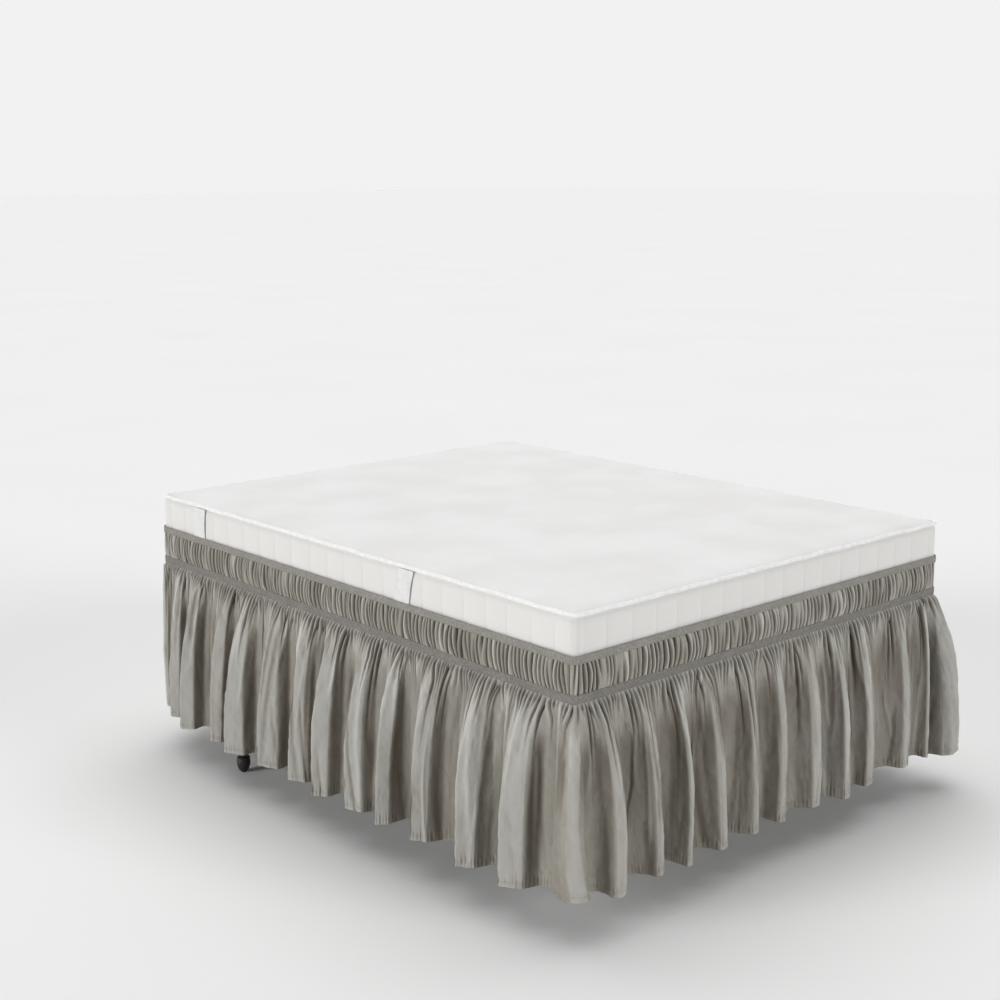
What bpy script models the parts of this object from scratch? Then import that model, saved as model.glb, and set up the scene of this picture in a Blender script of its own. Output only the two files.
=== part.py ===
"""A gathered, elastic wrap-around bed skirt on a plain bed with its mattress.

Everything is in metres, +Z up. The origin is on the floor under the middle of the bed. The foot of the bed
points along -Y, the head along +Y, and the long side seen in front is the one at -X.

The skirt is four sewn pieces: an elastic tape round the top, a shirred heading, a second elastic tape, and
the gathered drop that hangs from it. The mattress lies on a foundation, and that on a steel frame.
"""

import math

import bmesh
import bpy
from mathutils import Vector

# --- Driving sizes -------------------------------------------------------------------------------------
BED_WIDTH = 1.52
BED_LENGTH = 1.90
CORNER_RADIUS = 0.015
PIPING_HEIGHT = 0.83  # from the floor to the middle of the mattress's piped edge
MATTRESS_THICKNESS = 0.25
FOUNDATION_THICKNESS = 0.23
SEAM_GAP = 0.0003  # between two pieces that meet

# The skirt, measured down from the piping.
SKIRT_TOP_BELOW_PIPING = 0.099
TOP_TAPE_HEIGHT = 0.021
HEADING_HEIGHT = 0.076
LOWER_TAPE_HEIGHT = 0.0235
DROP_HEIGHT = 0.4835
TAPE_THICKNESS = 0.003
TAPE_CLEARANCE = 0.004
CLOTH_THICKNESS = 0.002

# --- Heights that follow from them ---------------------------------------------------------------------
MATTRESS_BOTTOM = PIPING_HEIGHT - MATTRESS_THICKNESS
FOUNDATION_TOP = MATTRESS_BOTTOM - SEAM_GAP
FOUNDATION_BOTTOM = FOUNDATION_TOP - FOUNDATION_THICKNESS
TOP_TAPE_TOP = PIPING_HEIGHT - SKIRT_TOP_BELOW_PIPING
HEADING_TOP = TOP_TAPE_TOP - TOP_TAPE_HEIGHT - SEAM_GAP
LOWER_TAPE_TOP = HEADING_TOP - HEADING_HEIGHT - SEAM_GAP
DROP_TOP = LOWER_TAPE_TOP - LOWER_TAPE_HEIGHT - SEAM_GAP

# --- The rim: the outline of the mattress, walked from the middle of the corner at the left of the head ----
CORNER_ARC = CORNER_RADIUS * math.pi / 2
LONG_SIDE = BED_LENGTH - 2 * CORNER_RADIUS + CORNER_ARC
SHORT_SIDE = BED_WIDTH - 2 * CORNER_RADIUS + CORNER_ARC
RIM_LENGTH = 2 * (LONG_SIDE + SHORT_SIDE)

# --- The drop's folds ----------------------------------------------------------------------------------
# Each row is one fold: how far along its side its first valley and its crest are, and how far each of the two
# stands out from the rim at the hem. A fold ends in the next row's valley.
LEFT_FOLDS = (
    # valley, crest, valley out, crest out
    (-0.045, 0.000, 0.013, 0.024),
    (0.050, 0.103, 0.014, 0.070),
    (0.170, 0.230, 0.019, 0.096),
    (0.292, 0.405, 0.034, 0.098),
    (0.462, 0.505, 0.056, 0.107),
    (0.602, 0.677, 0.034, 0.101),
    (0.762, 0.832, 0.029, 0.095),
    (0.900, 0.960, 0.039, 0.112),
    (1.045, 1.117, 0.034, 0.106),
    (1.190, 1.245, 0.050, 0.098),
    (1.292, 1.402, 0.014, 0.104),
    (1.492, 1.592, 0.024, 0.112),
    (1.672, 1.752, 0.031, 0.106),
)
FOOT_FOLDS = (
    # valley, crest, valley out, crest out
    (-0.035, 0.003, 0.022, 0.070),
    (0.016, 0.080, 0.026, 0.090),
    (0.150, 0.222, 0.018, 0.088),
    (0.288, 0.342, 0.018, 0.086),
    (0.408, 0.468, 0.028, 0.084),
    (0.548, 0.615, 0.014, 0.077),
    (0.678, 0.742, 0.014, 0.069),
    (0.805, 0.875, 0.032, 0.076),
    (0.948, 1.006, 0.028, 0.084),
    (1.072, 1.110, 0.038, 0.078),
    (1.232, 1.325, 0.013, 0.058),
    (1.412, 1.448, 0.018, 0.054),
)
# The right side and the head are drawn as evenly as a maker would gather them.
PLAIN_FOLDS = (
    # side, number of folds, valley out, crest out
    ("right", 13, 0.032, 0.108),
    ("head", 11, 0.024, 0.090),
)
# A fold is a straight flank, then the crest's flat panel, then a straight flank. On the two sides that show,
# the flank that faces the foot's left corner is the wider one, and the other one is steep.
FLANKS = (
    # side, share of the way from the valley to the crest that the flank takes, and the same past the crest
    ("left", 0.30, 0.52),
    ("foot", 0.52, 0.30),
    ("right", 0.42, 0.42),
    ("head", 0.42, 0.42),
)
FLANK_CLOTH = 0.6  # share of the cloth between a valley and a crest that lies in the flank
FLANK_BEND = 6.0  # how sharply the flank turns into the panel
FOLD_STRAY = 0.16  # how far a plain side's crests stray, as a share of the pitch
VALLEY_STRAY = 0.096  # how far its valleys do
STRAY_TURN = 2.4  # how fast the straying changes from fold to fold
FOLD_SWELL = 0.08  # how much deeper or shallower a plain side's fold gets
SWELL_TURN = 1.7

FOLD_COLUMNS = 8
DROP_ROWS = (0.0, 0.12, 0.35, 0.68, 1.0)  # shares of the drop, from its top to its hem
DROP_TOP_OFFSET = 0.011  # from the rim out to the cloth where it leaves the tape
CREST_FLARE = 2.0  # the crests spring out under the tape and then hang
VALLEY_FLARE = 1.4  # the valleys follow later
GATHER_HEIGHT = 0.0022
GATHER_REACH = 0.3  # share of the drop that the small gathers run down
HEM_UNEVENNESS = 0.005
HEM_TURN = 2.6  # how fast the hem's height changes from fold to fold

# --- The heading's gathers -----------------------------------------------------------------------------
HEADING_RIBS = 200
HEADING_OFFSET = 0.0095
HEADING_BULGE = 0.0035
HEADING_RIB_HEIGHT = 0.0025
HEADING_ROWS = (0.0, 0.5, 1.0)
HEADING_LEAN = 0.25  # how far a rib leans between the tapes, as a share of half its width
LEAN_TURN = 0.37  # how fast the lean changes from rib to rib

# --- Steps along the rim -------------------------------------------------------------------------------
CORNER_STEPS = 5
TAPE_STRAIGHT_STEPS = 6

# --- The mattress --------------------------------------------------------------------------------------
PIPING_RADIUS = 0.005
MATTRESS_CROWN = (
    # inset from the side, height above the ledge
    (0.0062, 0.0),
    (0.0062, 0.009),
    (0.030, 0.015),
    (0.090, 0.020),
    (0.220, 0.023),
)
HANDLE_WIDTH = 0.062
HANDLE_THICKNESS = 0.0022
HANDLE_CENTRES = {"foot": -0.292, "head": 0.715}
HANDLE_BELOW_PIPING = 0.010
HANDLE_TUCK = 0.020  # how far a handle runs down behind the tape

# --- The foundation and its frame ----------------------------------------------------------------------
FOUNDATION_INSET = 0.002
RAIL_WIDTH = 0.026
RAIL_HEIGHT = 0.040
RAIL_LENGTH = 1.80
LEG_RADIUS = 0.016
LEG_ROWS = (
    # end, place along the bed, how far in from the rails its outer legs stand
    ("foot", -0.60, 0.16),
    ("head", 0.545, 0.0),
)
GLIDE_PROFILE = (
    # radius, height: a cup that narrows to a small flat foot
    (0.0165, 0.050),
    (0.0205, 0.046),
    (0.0215, 0.034),
    (0.0205, 0.022),
    (0.0170, 0.010),
    (0.0110, 0.002),
    (0.0090, 0.0),
)
ROUND_SIDES = 12

# --- Finishes: colour, roughness, metallic -------------------------------------------------------------
FINISHES = {
    "skirt_cloth": ((0.34, 0.33, 0.30), 0.85, 0.0),
    "skirt_tape": ((0.27, 0.26, 0.24), 0.80, 0.0),
    "ticking": ((0.80, 0.79, 0.78), 0.90, 0.0),
    "piping_cloth": ((0.88, 0.88, 0.87), 0.70, 0.0),
    "webbing": ((0.86, 0.86, 0.85), 0.75, 0.0),
    "foundation_cloth": ((0.62, 0.61, 0.59), 0.90, 0.0),
    "frame_steel": ((0.03, 0.03, 0.03), 0.45, 0.8),
    "glide_plastic": ((0.015, 0.012, 0.012), 0.40, 0.0),
}


def clear_scene():
    """Removes whatever the file holds before the part is made."""
    for old in list(bpy.data.objects):
        bpy.data.objects.remove(old, do_unlink=True)


def make_materials():
    """One material for each finish, by name."""
    made = {}
    for name, (colour, roughness, metallic) in FINISHES.items():
        material = bpy.data.materials.new(name)
        material.use_nodes = True
        shader = material.node_tree.nodes["Principled BSDF"]
        shader.inputs["Base Color"].default_value = (*colour, 1.0)
        shader.inputs["Roughness"].default_value = roughness
        shader.inputs["Metallic"].default_value = metallic
        made[name] = material
    return made


def add_object(name, mesh, material, collection):
    """Puts a mesh in the part's collection as one named object."""
    made = bpy.data.objects.new(name, mesh)
    made.data.materials.append(material)
    collection.objects.link(made)
    return made


def mesh_from(name, shape):
    """Turns a bmesh into a mesh."""
    mesh = bpy.data.meshes.new(name)
    shape.to_mesh(mesh)
    shape.free()
    return mesh


def rim(along):
    """The rim's point and outward direction at a distance along it, walked anticlockwise from above."""
    along %= RIM_LENGTH
    corners = (
        # corner, direction along the side that leaves it, that side's length
        (Vector((-1, 1)), Vector((0, -1)), LONG_SIDE),
        (Vector((-1, -1)), Vector((1, 0)), SHORT_SIDE),
        (Vector((1, -1)), Vector((0, 1)), LONG_SIDE),
        (Vector((1, 1)), Vector((-1, 0)), SHORT_SIDE),
    )
    index = 0
    while along > corners[index][2]:
        along -= corners[index][2]
        index += 1
    corner, direction, length = corners[index]
    outward = Vector((direction.y, -direction.x))
    half = Vector((BED_WIDTH / 2, BED_LENGTH / 2))
    half_arc = CORNER_ARC / 2
    if along < half_arc:
        turn = (along - half_arc) / CORNER_RADIUS
        centre = Vector((corner.x * half.x, corner.y * half.y))
        centre += (direction - outward) * CORNER_RADIUS
    elif along > length - half_arc:
        turn = (along - length + half_arc) / CORNER_RADIUS
        corner = corners[(index + 1) % 4][0]
        centre = Vector((corner.x * half.x, corner.y * half.y))
        centre -= (direction + outward) * CORNER_RADIUS
    else:
        start = Vector((corner.x * half.x, corner.y * half.y))
        return start + direction * (along - half_arc + CORNER_RADIUS), outward
    normal = outward * math.cos(turn) + direction * math.sin(turn)
    return centre + normal * CORNER_RADIUS, normal


def stand_off(along, offset, height):
    """The point that stands out from the rim by offset, at a height above the floor."""
    point, normal = rim(along)
    return Vector((*(point + normal * offset), height))


def plain_folds(side_length, count, valley_out, crest_out):
    """Folds for a side that isn't seen: about even, with places and depths that stray a little."""
    pitch = side_length / count
    rows = []
    for step in range(count):
        stray = math.sin(STRAY_TURN * step)
        valley = (step - 0.5 + VALLEY_STRAY * stray) * pitch
        crest = (step + FOLD_STRAY * stray) * pitch
        swell = 1 + FOLD_SWELL * math.sin(SWELL_TURN * step)
        rows.append((valley, crest, valley_out, crest_out * swell))
    return rows


def skirt_folds():
    """Every fold round the bed, from the head's left corner, with its places along the whole rim."""
    sides = [LEFT_FOLDS, FOOT_FOLDS]
    for (_, *facts), length in zip(PLAIN_FOLDS, (LONG_SIDE, SHORT_SIDE)):
        sides.append(plain_folds(length, *facts))
    folds, start = [], 0.0
    lengths = (LONG_SIDE, SHORT_SIDE, LONG_SIDE, SHORT_SIDE)
    for side, length, (_, *flanks) in zip(sides, lengths, FLANKS):
        folds += [(start + valley, start + crest, low, high, *flanks) for valley, crest, low, high in side]
        start += length
    return folds


def flank_and_panel(climb, flank):
    """How far along its side and out of its valley a fold is: a straight flank that bends into a flat panel."""
    runs = (climb / FLANK_CLOTH, 1 / FLANK_CLOTH)
    (run, whole), (bend, whole_bend) = runs, [run / (1 + run**FLANK_BEND) ** (1 / FLANK_BEND) for run in runs]
    wave, panel = bend / whole_bend, (run - bend) / (whole - whole_bend)
    return flank * wave + (1 - flank) * panel, wave


def drop_point(folds, column, row):
    """A point of the drop's outer face, for a column round the bed and a row down the cloth."""
    index, step = divmod(column, FOLD_COLUMNS)
    valley, crest, valley_out, crest_out, flank, far_flank = folds[index]
    if 2 * step > FOLD_COLUMNS:  # past the crest, towards the next fold's valley
        flank = far_flank
        valley, _, valley_out, *_ = folds[(index + 1) % len(folds)]
        valley += RIM_LENGTH if index + 1 == len(folds) else 0.0
    share = DROP_ROWS[row]
    climb = 1 - abs(2 * step / FOLD_COLUMNS - 1)  # 0 in the valley, 1 on the crest
    slide, wave = flank_and_panel(climb, flank)
    flare = 1 - (1 - share) ** CREST_FLARE
    low = (valley_out - DROP_TOP_OFFSET) * share**VALLEY_FLARE
    high = (crest_out - DROP_TOP_OFFSET) * flare
    offset = DROP_TOP_OFFSET + low + (high - low) * wave
    offset += GATHER_HEIGHT * max(0.0, 1 - share / GATHER_REACH) * (1 if step % 2 else -1)
    slide = climb + flare * (slide - climb)  # the gathers under the tape are evenly spaced
    height = DROP_TOP - DROP_HEIGHT * share
    height += share * HEM_UNEVENNESS * (math.sin(HEM_TURN * index) - wave)
    return stand_off(valley + (crest - valley) * slide, offset, height)


def heading_point(column, row):
    """A point of the heading's outer face: fine ribs that swell between the two tapes."""
    share = HEADING_ROWS[row]
    half_rib = RIM_LENGTH / (2 * HEADING_RIBS)
    lean = HEADING_LEAN * half_rib * math.sin(LEAN_TURN * column)
    rib = HEADING_RIB_HEIGHT * (1 if column % 2 else -1)
    offset = HEADING_OFFSET + HEADING_BULGE * math.sin(math.pi * share) + rib
    return stand_off(column * half_rib + lean * (share - 0.5), offset, HEADING_TOP - HEADING_HEIGHT * share)


def tape_stations():
    """Distances along the rim that follow its corners closely and its straights sparsely."""
    stations, start = [], 0.0
    for length in (LONG_SIDE, SHORT_SIDE, LONG_SIDE, SHORT_SIDE):
        half_arc = CORNER_ARC / 2
        straight = length - CORNER_ARC
        stations += [start + half_arc * step / CORNER_STEPS for step in range(CORNER_STEPS)]
        stations += [
            start + half_arc + straight * step / TAPE_STRAIGHT_STEPS for step in range(TAPE_STRAIGHT_STEPS)
        ]
        stations += [start + length - half_arc * (1 - step / CORNER_STEPS) for step in range(CORNER_STEPS)]
        start += length
    return stations


def cloth_ring(name, columns, rows, place, thickness, material, collection):
    """A band of cloth round the bed: a grid whose points are placed by column and row, closed and thickened.

    Column 0 meets the last column. Row 0 is the top edge.
    """
    shape = bmesh.new()
    bmesh.ops.create_grid(shape, x_segments=columns, y_segments=rows - 1, size=1.0)
    for vertex in shape.verts:
        column = round((vertex.co.x + 1) / 2 * columns)
        row = round((1 - vertex.co.y) / 2 * (rows - 1))
        vertex.co = place(column % columns, row)
    bmesh.ops.remove_doubles(shape, verts=shape.verts, dist=1e-6)
    made = add_object(name, mesh_from(name, shape), material, collection)
    made.data.shade_smooth()
    wall = made.modifiers.new("Thickness", "SOLIDIFY")
    wall.thickness = thickness
    wall.offset = -1.0
    return made


def make_tape(name, top, height, material, collection):
    """An elastic tape round the rim."""
    stations = tape_stations()
    offset = TAPE_CLEARANCE + TAPE_THICKNESS

    def place(column, row):
        """The tape's outer face has one row at its top edge and one at its bottom edge."""
        return stand_off(stations[column], offset, top - height * row)

    return cloth_ring(name, len(stations), 2, place, TAPE_THICKNESS, material, collection)


def make_skirt(materials, collection):
    """The skirt's four pieces, from the top down."""
    make_tape("top_tape", TOP_TAPE_TOP, TOP_TAPE_HEIGHT, materials["skirt_tape"], collection)
    cloth_ring(
        "heading",
        2 * HEADING_RIBS,
        len(HEADING_ROWS),
        heading_point,
        CLOTH_THICKNESS,
        materials["skirt_cloth"],
        collection,
    )
    make_tape("lower_tape", LOWER_TAPE_TOP, LOWER_TAPE_HEIGHT, materials["skirt_tape"], collection)
    folds = skirt_folds()
    cloth_ring(
        "drop",
        len(folds) * FOLD_COLUMNS,
        len(DROP_ROWS),
        lambda column, row: drop_point(folds, column, row),
        CLOTH_THICKNESS,
        materials["skirt_cloth"],
        collection,
    )


def rounded_block(width, length, bottom, top, radius):
    """A block with rounded upright corners, as a bmesh, and its top face."""
    shape = bmesh.new()
    bmesh.ops.create_cube(shape, size=1.0)
    for vertex in shape.verts:
        vertex.co.x *= width
        vertex.co.y *= length
        vertex.co.z = top if vertex.co.z > 0 else bottom
    upright = [edge for edge in shape.edges if abs(edge.verts[0].co.z - edge.verts[1].co.z) > 1e-6]
    bmesh.ops.bevel(shape, geom=upright, offset=radius, segments=CORNER_STEPS + 1, profile=0.5, affect="EDGES")
    top_face = max(shape.faces, key=lambda face: face.calc_center_median().z)
    return shape, top_face


def make_mattress(materials, collection):
    """The mattress, with a ledge for its piping and a low crown above that."""
    ledge = PIPING_HEIGHT - PIPING_RADIUS - SEAM_GAP
    shape, face = rounded_block(BED_WIDTH, BED_LENGTH, MATTRESS_BOTTOM, ledge, CORNER_RADIUS)
    outline = [(vertex.co.x, vertex.co.y) for vertex in face.verts]
    for inset, rise in MATTRESS_CROWN:
        face = bmesh.ops.extrude_discrete_faces(shape, faces=[face])["faces"][0]
        narrowing = 1 - 2 * inset / BED_WIDTH
        shortening = 1 - 2 * inset / BED_LENGTH
        for vertex, (x, y) in zip(face.verts, outline):
            vertex.co = Vector((x * narrowing, y * shortening, ledge + rise))
    bmesh.ops.remove_doubles(shape, verts=shape.verts, dist=1e-6)
    add_object("mattress", mesh_from("mattress", shape), materials["ticking"], collection)


def make_piping(materials, collection):
    """The covered cord sewn round the mattress's top edge."""
    curve = bpy.data.curves.new("piping", "CURVE")
    curve.dimensions = "3D"
    curve.bevel_depth = PIPING_RADIUS
    curve.bevel_resolution = 2
    spline = curve.splines.new("POLY")
    stations = tape_stations()
    spline.points.add(len(stations) - 1)
    for point, along in zip(spline.points, stations):
        point.co = (*stand_off(along, 0.0, PIPING_HEIGHT), 1.0)
    spline.use_cyclic_u = True
    add_object("piping", curve, materials["piping_cloth"], collection)


def make_block(name, centre, size, material, collection):
    """A plain box with its middle at centre."""
    shape = bmesh.new()
    bmesh.ops.create_cube(shape, size=1.0)
    for vertex in shape.verts:
        vertex.co = Vector(a * b for a, b in zip(vertex.co, size))
    made = add_object(name, mesh_from(name, shape), material, collection)
    made.location = centre
    return made


def make_handles(materials, collection):
    """Four flat webbing handles on the mattress's long sides, which run down behind the skirt's top edge."""
    top = PIPING_HEIGHT - HANDLE_BELOW_PIPING
    bottom = TOP_TAPE_TOP - HANDLE_TUCK
    out = BED_WIDTH / 2 + SEAM_GAP + HANDLE_THICKNESS / 2
    for side, sign in (("left", -1), ("right", 1)):
        for end, along in HANDLE_CENTRES.items():
            make_block(
                f"handle_{side}_{end}",
                (sign * out, along, (top + bottom) / 2),
                (HANDLE_THICKNESS, HANDLE_WIDTH, top - bottom),
                materials["webbing"],
                collection,
            )


def make_foundation(materials, collection):
    """The closed base that the mattress lies on."""
    shape, _ = rounded_block(
        BED_WIDTH - 2 * FOUNDATION_INSET,
        BED_LENGTH - 2 * FOUNDATION_INSET,
        FOUNDATION_BOTTOM,
        FOUNDATION_TOP,
        CORNER_RADIUS - FOUNDATION_INSET,
    )
    add_object("foundation", mesh_from("foundation", shape), materials["foundation_cloth"], collection)


def make_leg(name, bottom, top, place, material, collection):
    """An upright round leg."""
    shape = bmesh.new()
    bmesh.ops.create_cone(
        shape,
        cap_ends=True,
        cap_tris=False,
        segments=ROUND_SIDES,
        radius1=LEG_RADIUS,
        radius2=LEG_RADIUS,
        depth=top - bottom,
    )
    made = add_object(name, mesh_from(name, shape), material, collection)
    made.location = (*place, (top + bottom) / 2)


def make_glide(name, place, material, collection):
    """A turned plastic cup under a leg, from its profile."""
    shape = bmesh.new()
    profile = [(0.0, GLIDE_PROFILE[0][1]), *GLIDE_PROFILE, (0.0, 0.0)]
    points = [shape.verts.new((radius, 0.0, height)) for radius, height in profile]
    for first, second in zip(points, points[1:]):
        shape.edges.new((first, second))
    made = add_object(name, mesh_from(name, shape), material, collection)
    turn = made.modifiers.new("Turn", "SCREW")
    turn.steps = turn.render_steps = ROUND_SIDES
    turn.use_merge_vertices = True
    turn.merge_threshold = 0.00001
    made.location = (*place, 0.0)


def make_frame(materials, collection):
    """Two side rails and two crossbars on six legs, each leg in a plastic glide."""
    steel, plastic = materials["frame_steel"], materials["glide_plastic"]
    rail_top = FOUNDATION_BOTTOM - SEAM_GAP
    rail_middle = rail_top - RAIL_HEIGHT / 2
    rail_x = BED_WIDTH / 2 - RAIL_WIDTH / 2
    for side, sign in (("left", -1), ("right", 1)):
        size = (RAIL_WIDTH, RAIL_LENGTH, RAIL_HEIGHT)
        make_block(f"rail_{side}", (sign * rail_x, 0, rail_middle), size, steel, collection)
    bar_length = 2 * (rail_x - RAIL_WIDTH / 2 - SEAM_GAP)
    leg_top = rail_top - RAIL_HEIGHT - SEAM_GAP
    leg_bottom = GLIDE_PROFILE[0][1] + SEAM_GAP
    for end, row, inset in LEG_ROWS:
        size = (bar_length, RAIL_WIDTH, RAIL_HEIGHT)
        make_block(f"crossbar_{end}", (0, row, rail_middle), size, steel, collection)
        for side, place in (("left", inset - rail_x), ("middle", 0.0), ("right", rail_x - inset)):
            name, spot = f"{side}_{end}", (place, row)
            make_leg(f"leg_{name}", leg_bottom, leg_top, spot, steel, collection)
            make_glide(f"glide_{name}", spot, plastic, collection)


def main():
    """Builds the whole part."""
    clear_scene()
    collection = bpy.data.collections.new("bed_skirt_on_bed")
    bpy.context.scene.collection.children.link(collection)
    materials = make_materials()
    make_skirt(materials, collection)
    make_mattress(materials, collection)
    make_piping(materials, collection)
    make_handles(materials, collection)
    make_foundation(materials, collection)
    make_frame(materials, collection)


main()
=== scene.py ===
"""The looks of a gathered, elastic wrap-around bed skirt on a plain bed with its mattress.

Everything is in metres, +Z up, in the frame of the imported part: the origin is on the floor under the
middle of the bed, the foot of the bed points along -Y, and the long side seen in front is the one at -X.

The skirt is four sewn pieces round the bed: an elastic tape, a shirred heading, a second elastic tape, and
the gathered drop. The mattress, its piping and its handles, the foundation and the steel frame are dressed
too.
"""

from __future__ import annotations

import logging
import math
from collections.abc import Callable, Sequence
from dataclasses import dataclass, field
from enum import Enum
from typing import NamedTuple

import bmesh
import bpy
import numpy as np
from mathutils import Matrix, Vector

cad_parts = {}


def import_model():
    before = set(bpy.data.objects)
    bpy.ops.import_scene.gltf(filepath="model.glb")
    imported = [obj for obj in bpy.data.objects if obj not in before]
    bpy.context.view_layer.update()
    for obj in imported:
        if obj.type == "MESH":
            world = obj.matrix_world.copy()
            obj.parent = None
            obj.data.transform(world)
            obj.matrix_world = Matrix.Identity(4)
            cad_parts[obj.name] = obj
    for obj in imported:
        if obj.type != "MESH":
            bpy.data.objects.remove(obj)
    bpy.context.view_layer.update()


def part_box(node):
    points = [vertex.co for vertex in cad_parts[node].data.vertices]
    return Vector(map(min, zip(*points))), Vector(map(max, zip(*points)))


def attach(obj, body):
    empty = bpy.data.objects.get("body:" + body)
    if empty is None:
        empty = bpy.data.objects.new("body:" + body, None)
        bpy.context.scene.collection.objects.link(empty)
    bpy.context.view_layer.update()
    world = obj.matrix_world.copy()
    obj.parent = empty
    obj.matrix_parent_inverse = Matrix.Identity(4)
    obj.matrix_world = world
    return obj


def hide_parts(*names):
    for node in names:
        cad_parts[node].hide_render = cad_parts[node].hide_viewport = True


CLOTH_MAP = "Cloth"  # the UV map of every sewn piece, in metres of its own cloth
SAME_POINT = 1e-6  # how near two points are that count as one
MIDDLE_JOIN = 0.004  # the same in the middle of a top or an underside
FOLD_MARK = "fold"  # how open the cloth lies, which sets its painted light and painted shade: 1 on a smooth face, more on a ridge, 0 or less in a slit
ROOT = "root"  # the part's one body

TURN = 2 * math.pi

Array = np.ndarray
Material = bpy.types.Material
Mesh = bpy.types.Mesh
Piece = bpy.types.Object
Socket = bpy.types.NodeSocket
Triple = tuple[float, float, float]
Colour = Triple
Range = tuple[float, float]
Profile = tuple[Range, ...]
Relief = Callable[[Array, Array], Array]
Source = Socket | float | tuple
Sources = dict[str | int, Source]
log = logging.getLogger("bed_skirt")


# --- The outline that every piece follows ---
class Side(Enum):
    """The four sides of the bed, in the order in which its rim is walked."""

    LEFT = 0
    FOOT = 1
    RIGHT = 2
    HEAD = 3

    @property
    def seen(self) -> bool:
        """Whether the photograph shows it."""
        return self in (Side.LEFT, Side.FOOT)


@dataclass(frozen=True)
class Rim:
    """The outline of the mattress, walked anticlockwise from the corner at the left of the head."""

    width: float = 1.52
    length: float = 1.90
    corner: float = 0.015

    @property
    def corner_arc(self) -> float:
        """The length of one rounded corner."""
        return self.corner * math.pi / 2

    @property
    def lengths(self) -> Array:
        """The four sides' lengths, each from the middle of one corner to the middle of the next."""
        long, short = (size - 2 * self.corner + self.corner_arc for size in (self.length, self.width))
        return np.array((long, short, long, short))

    @property
    def total(self) -> float:
        """The whole way round."""
        return float(self.lengths.sum())

    def start(self, side: Side) -> float:
        """How far along the rim a side starts."""
        return float(self.lengths[: side.value].sum())

    def walk(self, along: Array) -> tuple[Array, Array]:
        """Finds places on the rim.

        Args:
            along: Distances along the rim, of any shape.

        Returns:
            The points and the outward directions there, with a last axis of x and y.
        """
        along = np.mod(along, self.total)
        starts = np.concatenate(([0.0], np.cumsum(self.lengths)))
        index = np.clip(np.searchsorted(starts, along, side="right") - 1, 0, 3)
        corners = np.array(((-1, 1), (-1, -1), (1, -1), (1, 1))) * (self.width / 2, self.length / 2)
        directions = np.array(((0, -1), (1, 0), (0, 1), (-1, 0)), float)
        direction = directions[index]
        outward = np.stack((direction[..., 1], -direction[..., 0]), -1)
        local = along - starts[index]
        rest = self.lengths[index] - local
        half_arc = self.corner_arc / 2
        leaving = np.minimum(local - half_arc, 0.0) / self.corner
        arriving = np.maximum(half_arc - rest, 0.0) / self.corner
        turn = (leaving + arriving)[..., None]
        normal = outward * np.cos(turn) + direction * np.sin(turn)
        straight = np.clip(local - half_arc, 0.0, self.lengths[index] - self.corner_arc)[..., None]
        centre = corners[index] + direction * (self.corner + straight) - outward * self.corner
        return centre + normal * self.corner, normal

    def outer(self, along: Array, offset: float) -> Array:
        """Finds how far round a line that stands out from the rim each place lies.

        Args:
            along: Distances along the rim.
            offset: How far out the line stands.

        Returns:
            Distances along that line, which is longer at the corners.
        """
        laps, along = np.divmod(along, self.total)
        half = self.corner_arc / 2
        turned = np.zeros_like(along)
        for side in Side:
            past = along - self.start(side)
            turned += np.clip(past, 0, half)
            turned += np.clip(past - self.lengths[side.value] + half, 0, half)
        return laps * self.outer_total(offset) + along + turned * offset / self.corner

    def outer_total(self, offset: float) -> float:
        """The whole way round a line that stands out from the rim."""
        return self.total + TURN * offset

    def stations(self, side: Side, pitch: float, offset: float) -> Array:
        """Finds places along a side that are evenly spaced on a line that stands out from the rim.

        Args:
            side: Which side.
            pitch: The spacing.
            offset: How far out the line stands.

        Returns:
            Distances along the rim, from the middle of one corner to the middle of the next.
        """
        fine = self.start(side) + np.linspace(0.0, float(self.lengths[side.value]) - 1e-7, 4001)
        outer = self.outer(fine, offset)
        count = round(float(outer[-1] - outer[0]) / pitch)
        return np.interp(np.linspace(outer[0], outer[-1], count + 1), outer, fine)

    def stand_off(self, along: Array, offset: Array, height: Array) -> Array:
        """Finds points that stand out from the rim.

        Args:
            along: Distances along the rim.
            offset: How far out from the rim each point is.
            height: How high above the floor each point is.

        Returns:
            The points, with a last axis of x, y and z.
        """
        along, offset, height = np.broadcast_arrays(along, offset, height)
        points, normals = self.walk(along)
        return np.concatenate((points + normals * offset[..., None], height[..., None]), -1)


# --- Unevenness ---
def hill(distance: Array, width: float | Array) -> Array:
    """A soft round hill: 1 at distance 0, and nothing two widths away."""
    return np.exp(-((distance / width) ** 2))


def ease(value: Array, start: float, end: float) -> Array:
    """A soft step from 0 at start to 1 at end, which may lie in either order."""
    share = np.clip((value - start) / (end - start), 0.0, 1.0)
    return share * share * (3 - 2 * share)


class Wander:
    """A smooth random line that closes on itself after one lap of the rim."""

    def __init__(self, lap: float, wavelength: float, seed: int, waves: int = 7) -> None:
        """Chooses the waves.

        Args:
            lap: The distance after which the line repeats.
            wavelength: The middle wavelength.
            seed: Which line this is.
            waves: How many waves are added up.
        """
        random = np.random.default_rng(seed)
        middle = lap / wavelength
        turns = np.maximum(1, np.round(middle * random.uniform(0.55, 1.6, waves)))
        self.rates = TURN * turns / lap
        self.phases = random.uniform(0, TURN, waves)
        self.share = 1 / math.sqrt(waves / 2)

    def __call__(self, along: Array) -> Array:
        """Finds the line's height.

        Args:
            along: Distances along the lap.

        Returns:
            Heights, about -1 to 1.
        """
        total = np.zeros_like(along, dtype=float)
        for rate, phase in zip(self.rates, self.phases):
            total += np.sin(rate * along + phase)
        return total * self.share


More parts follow.
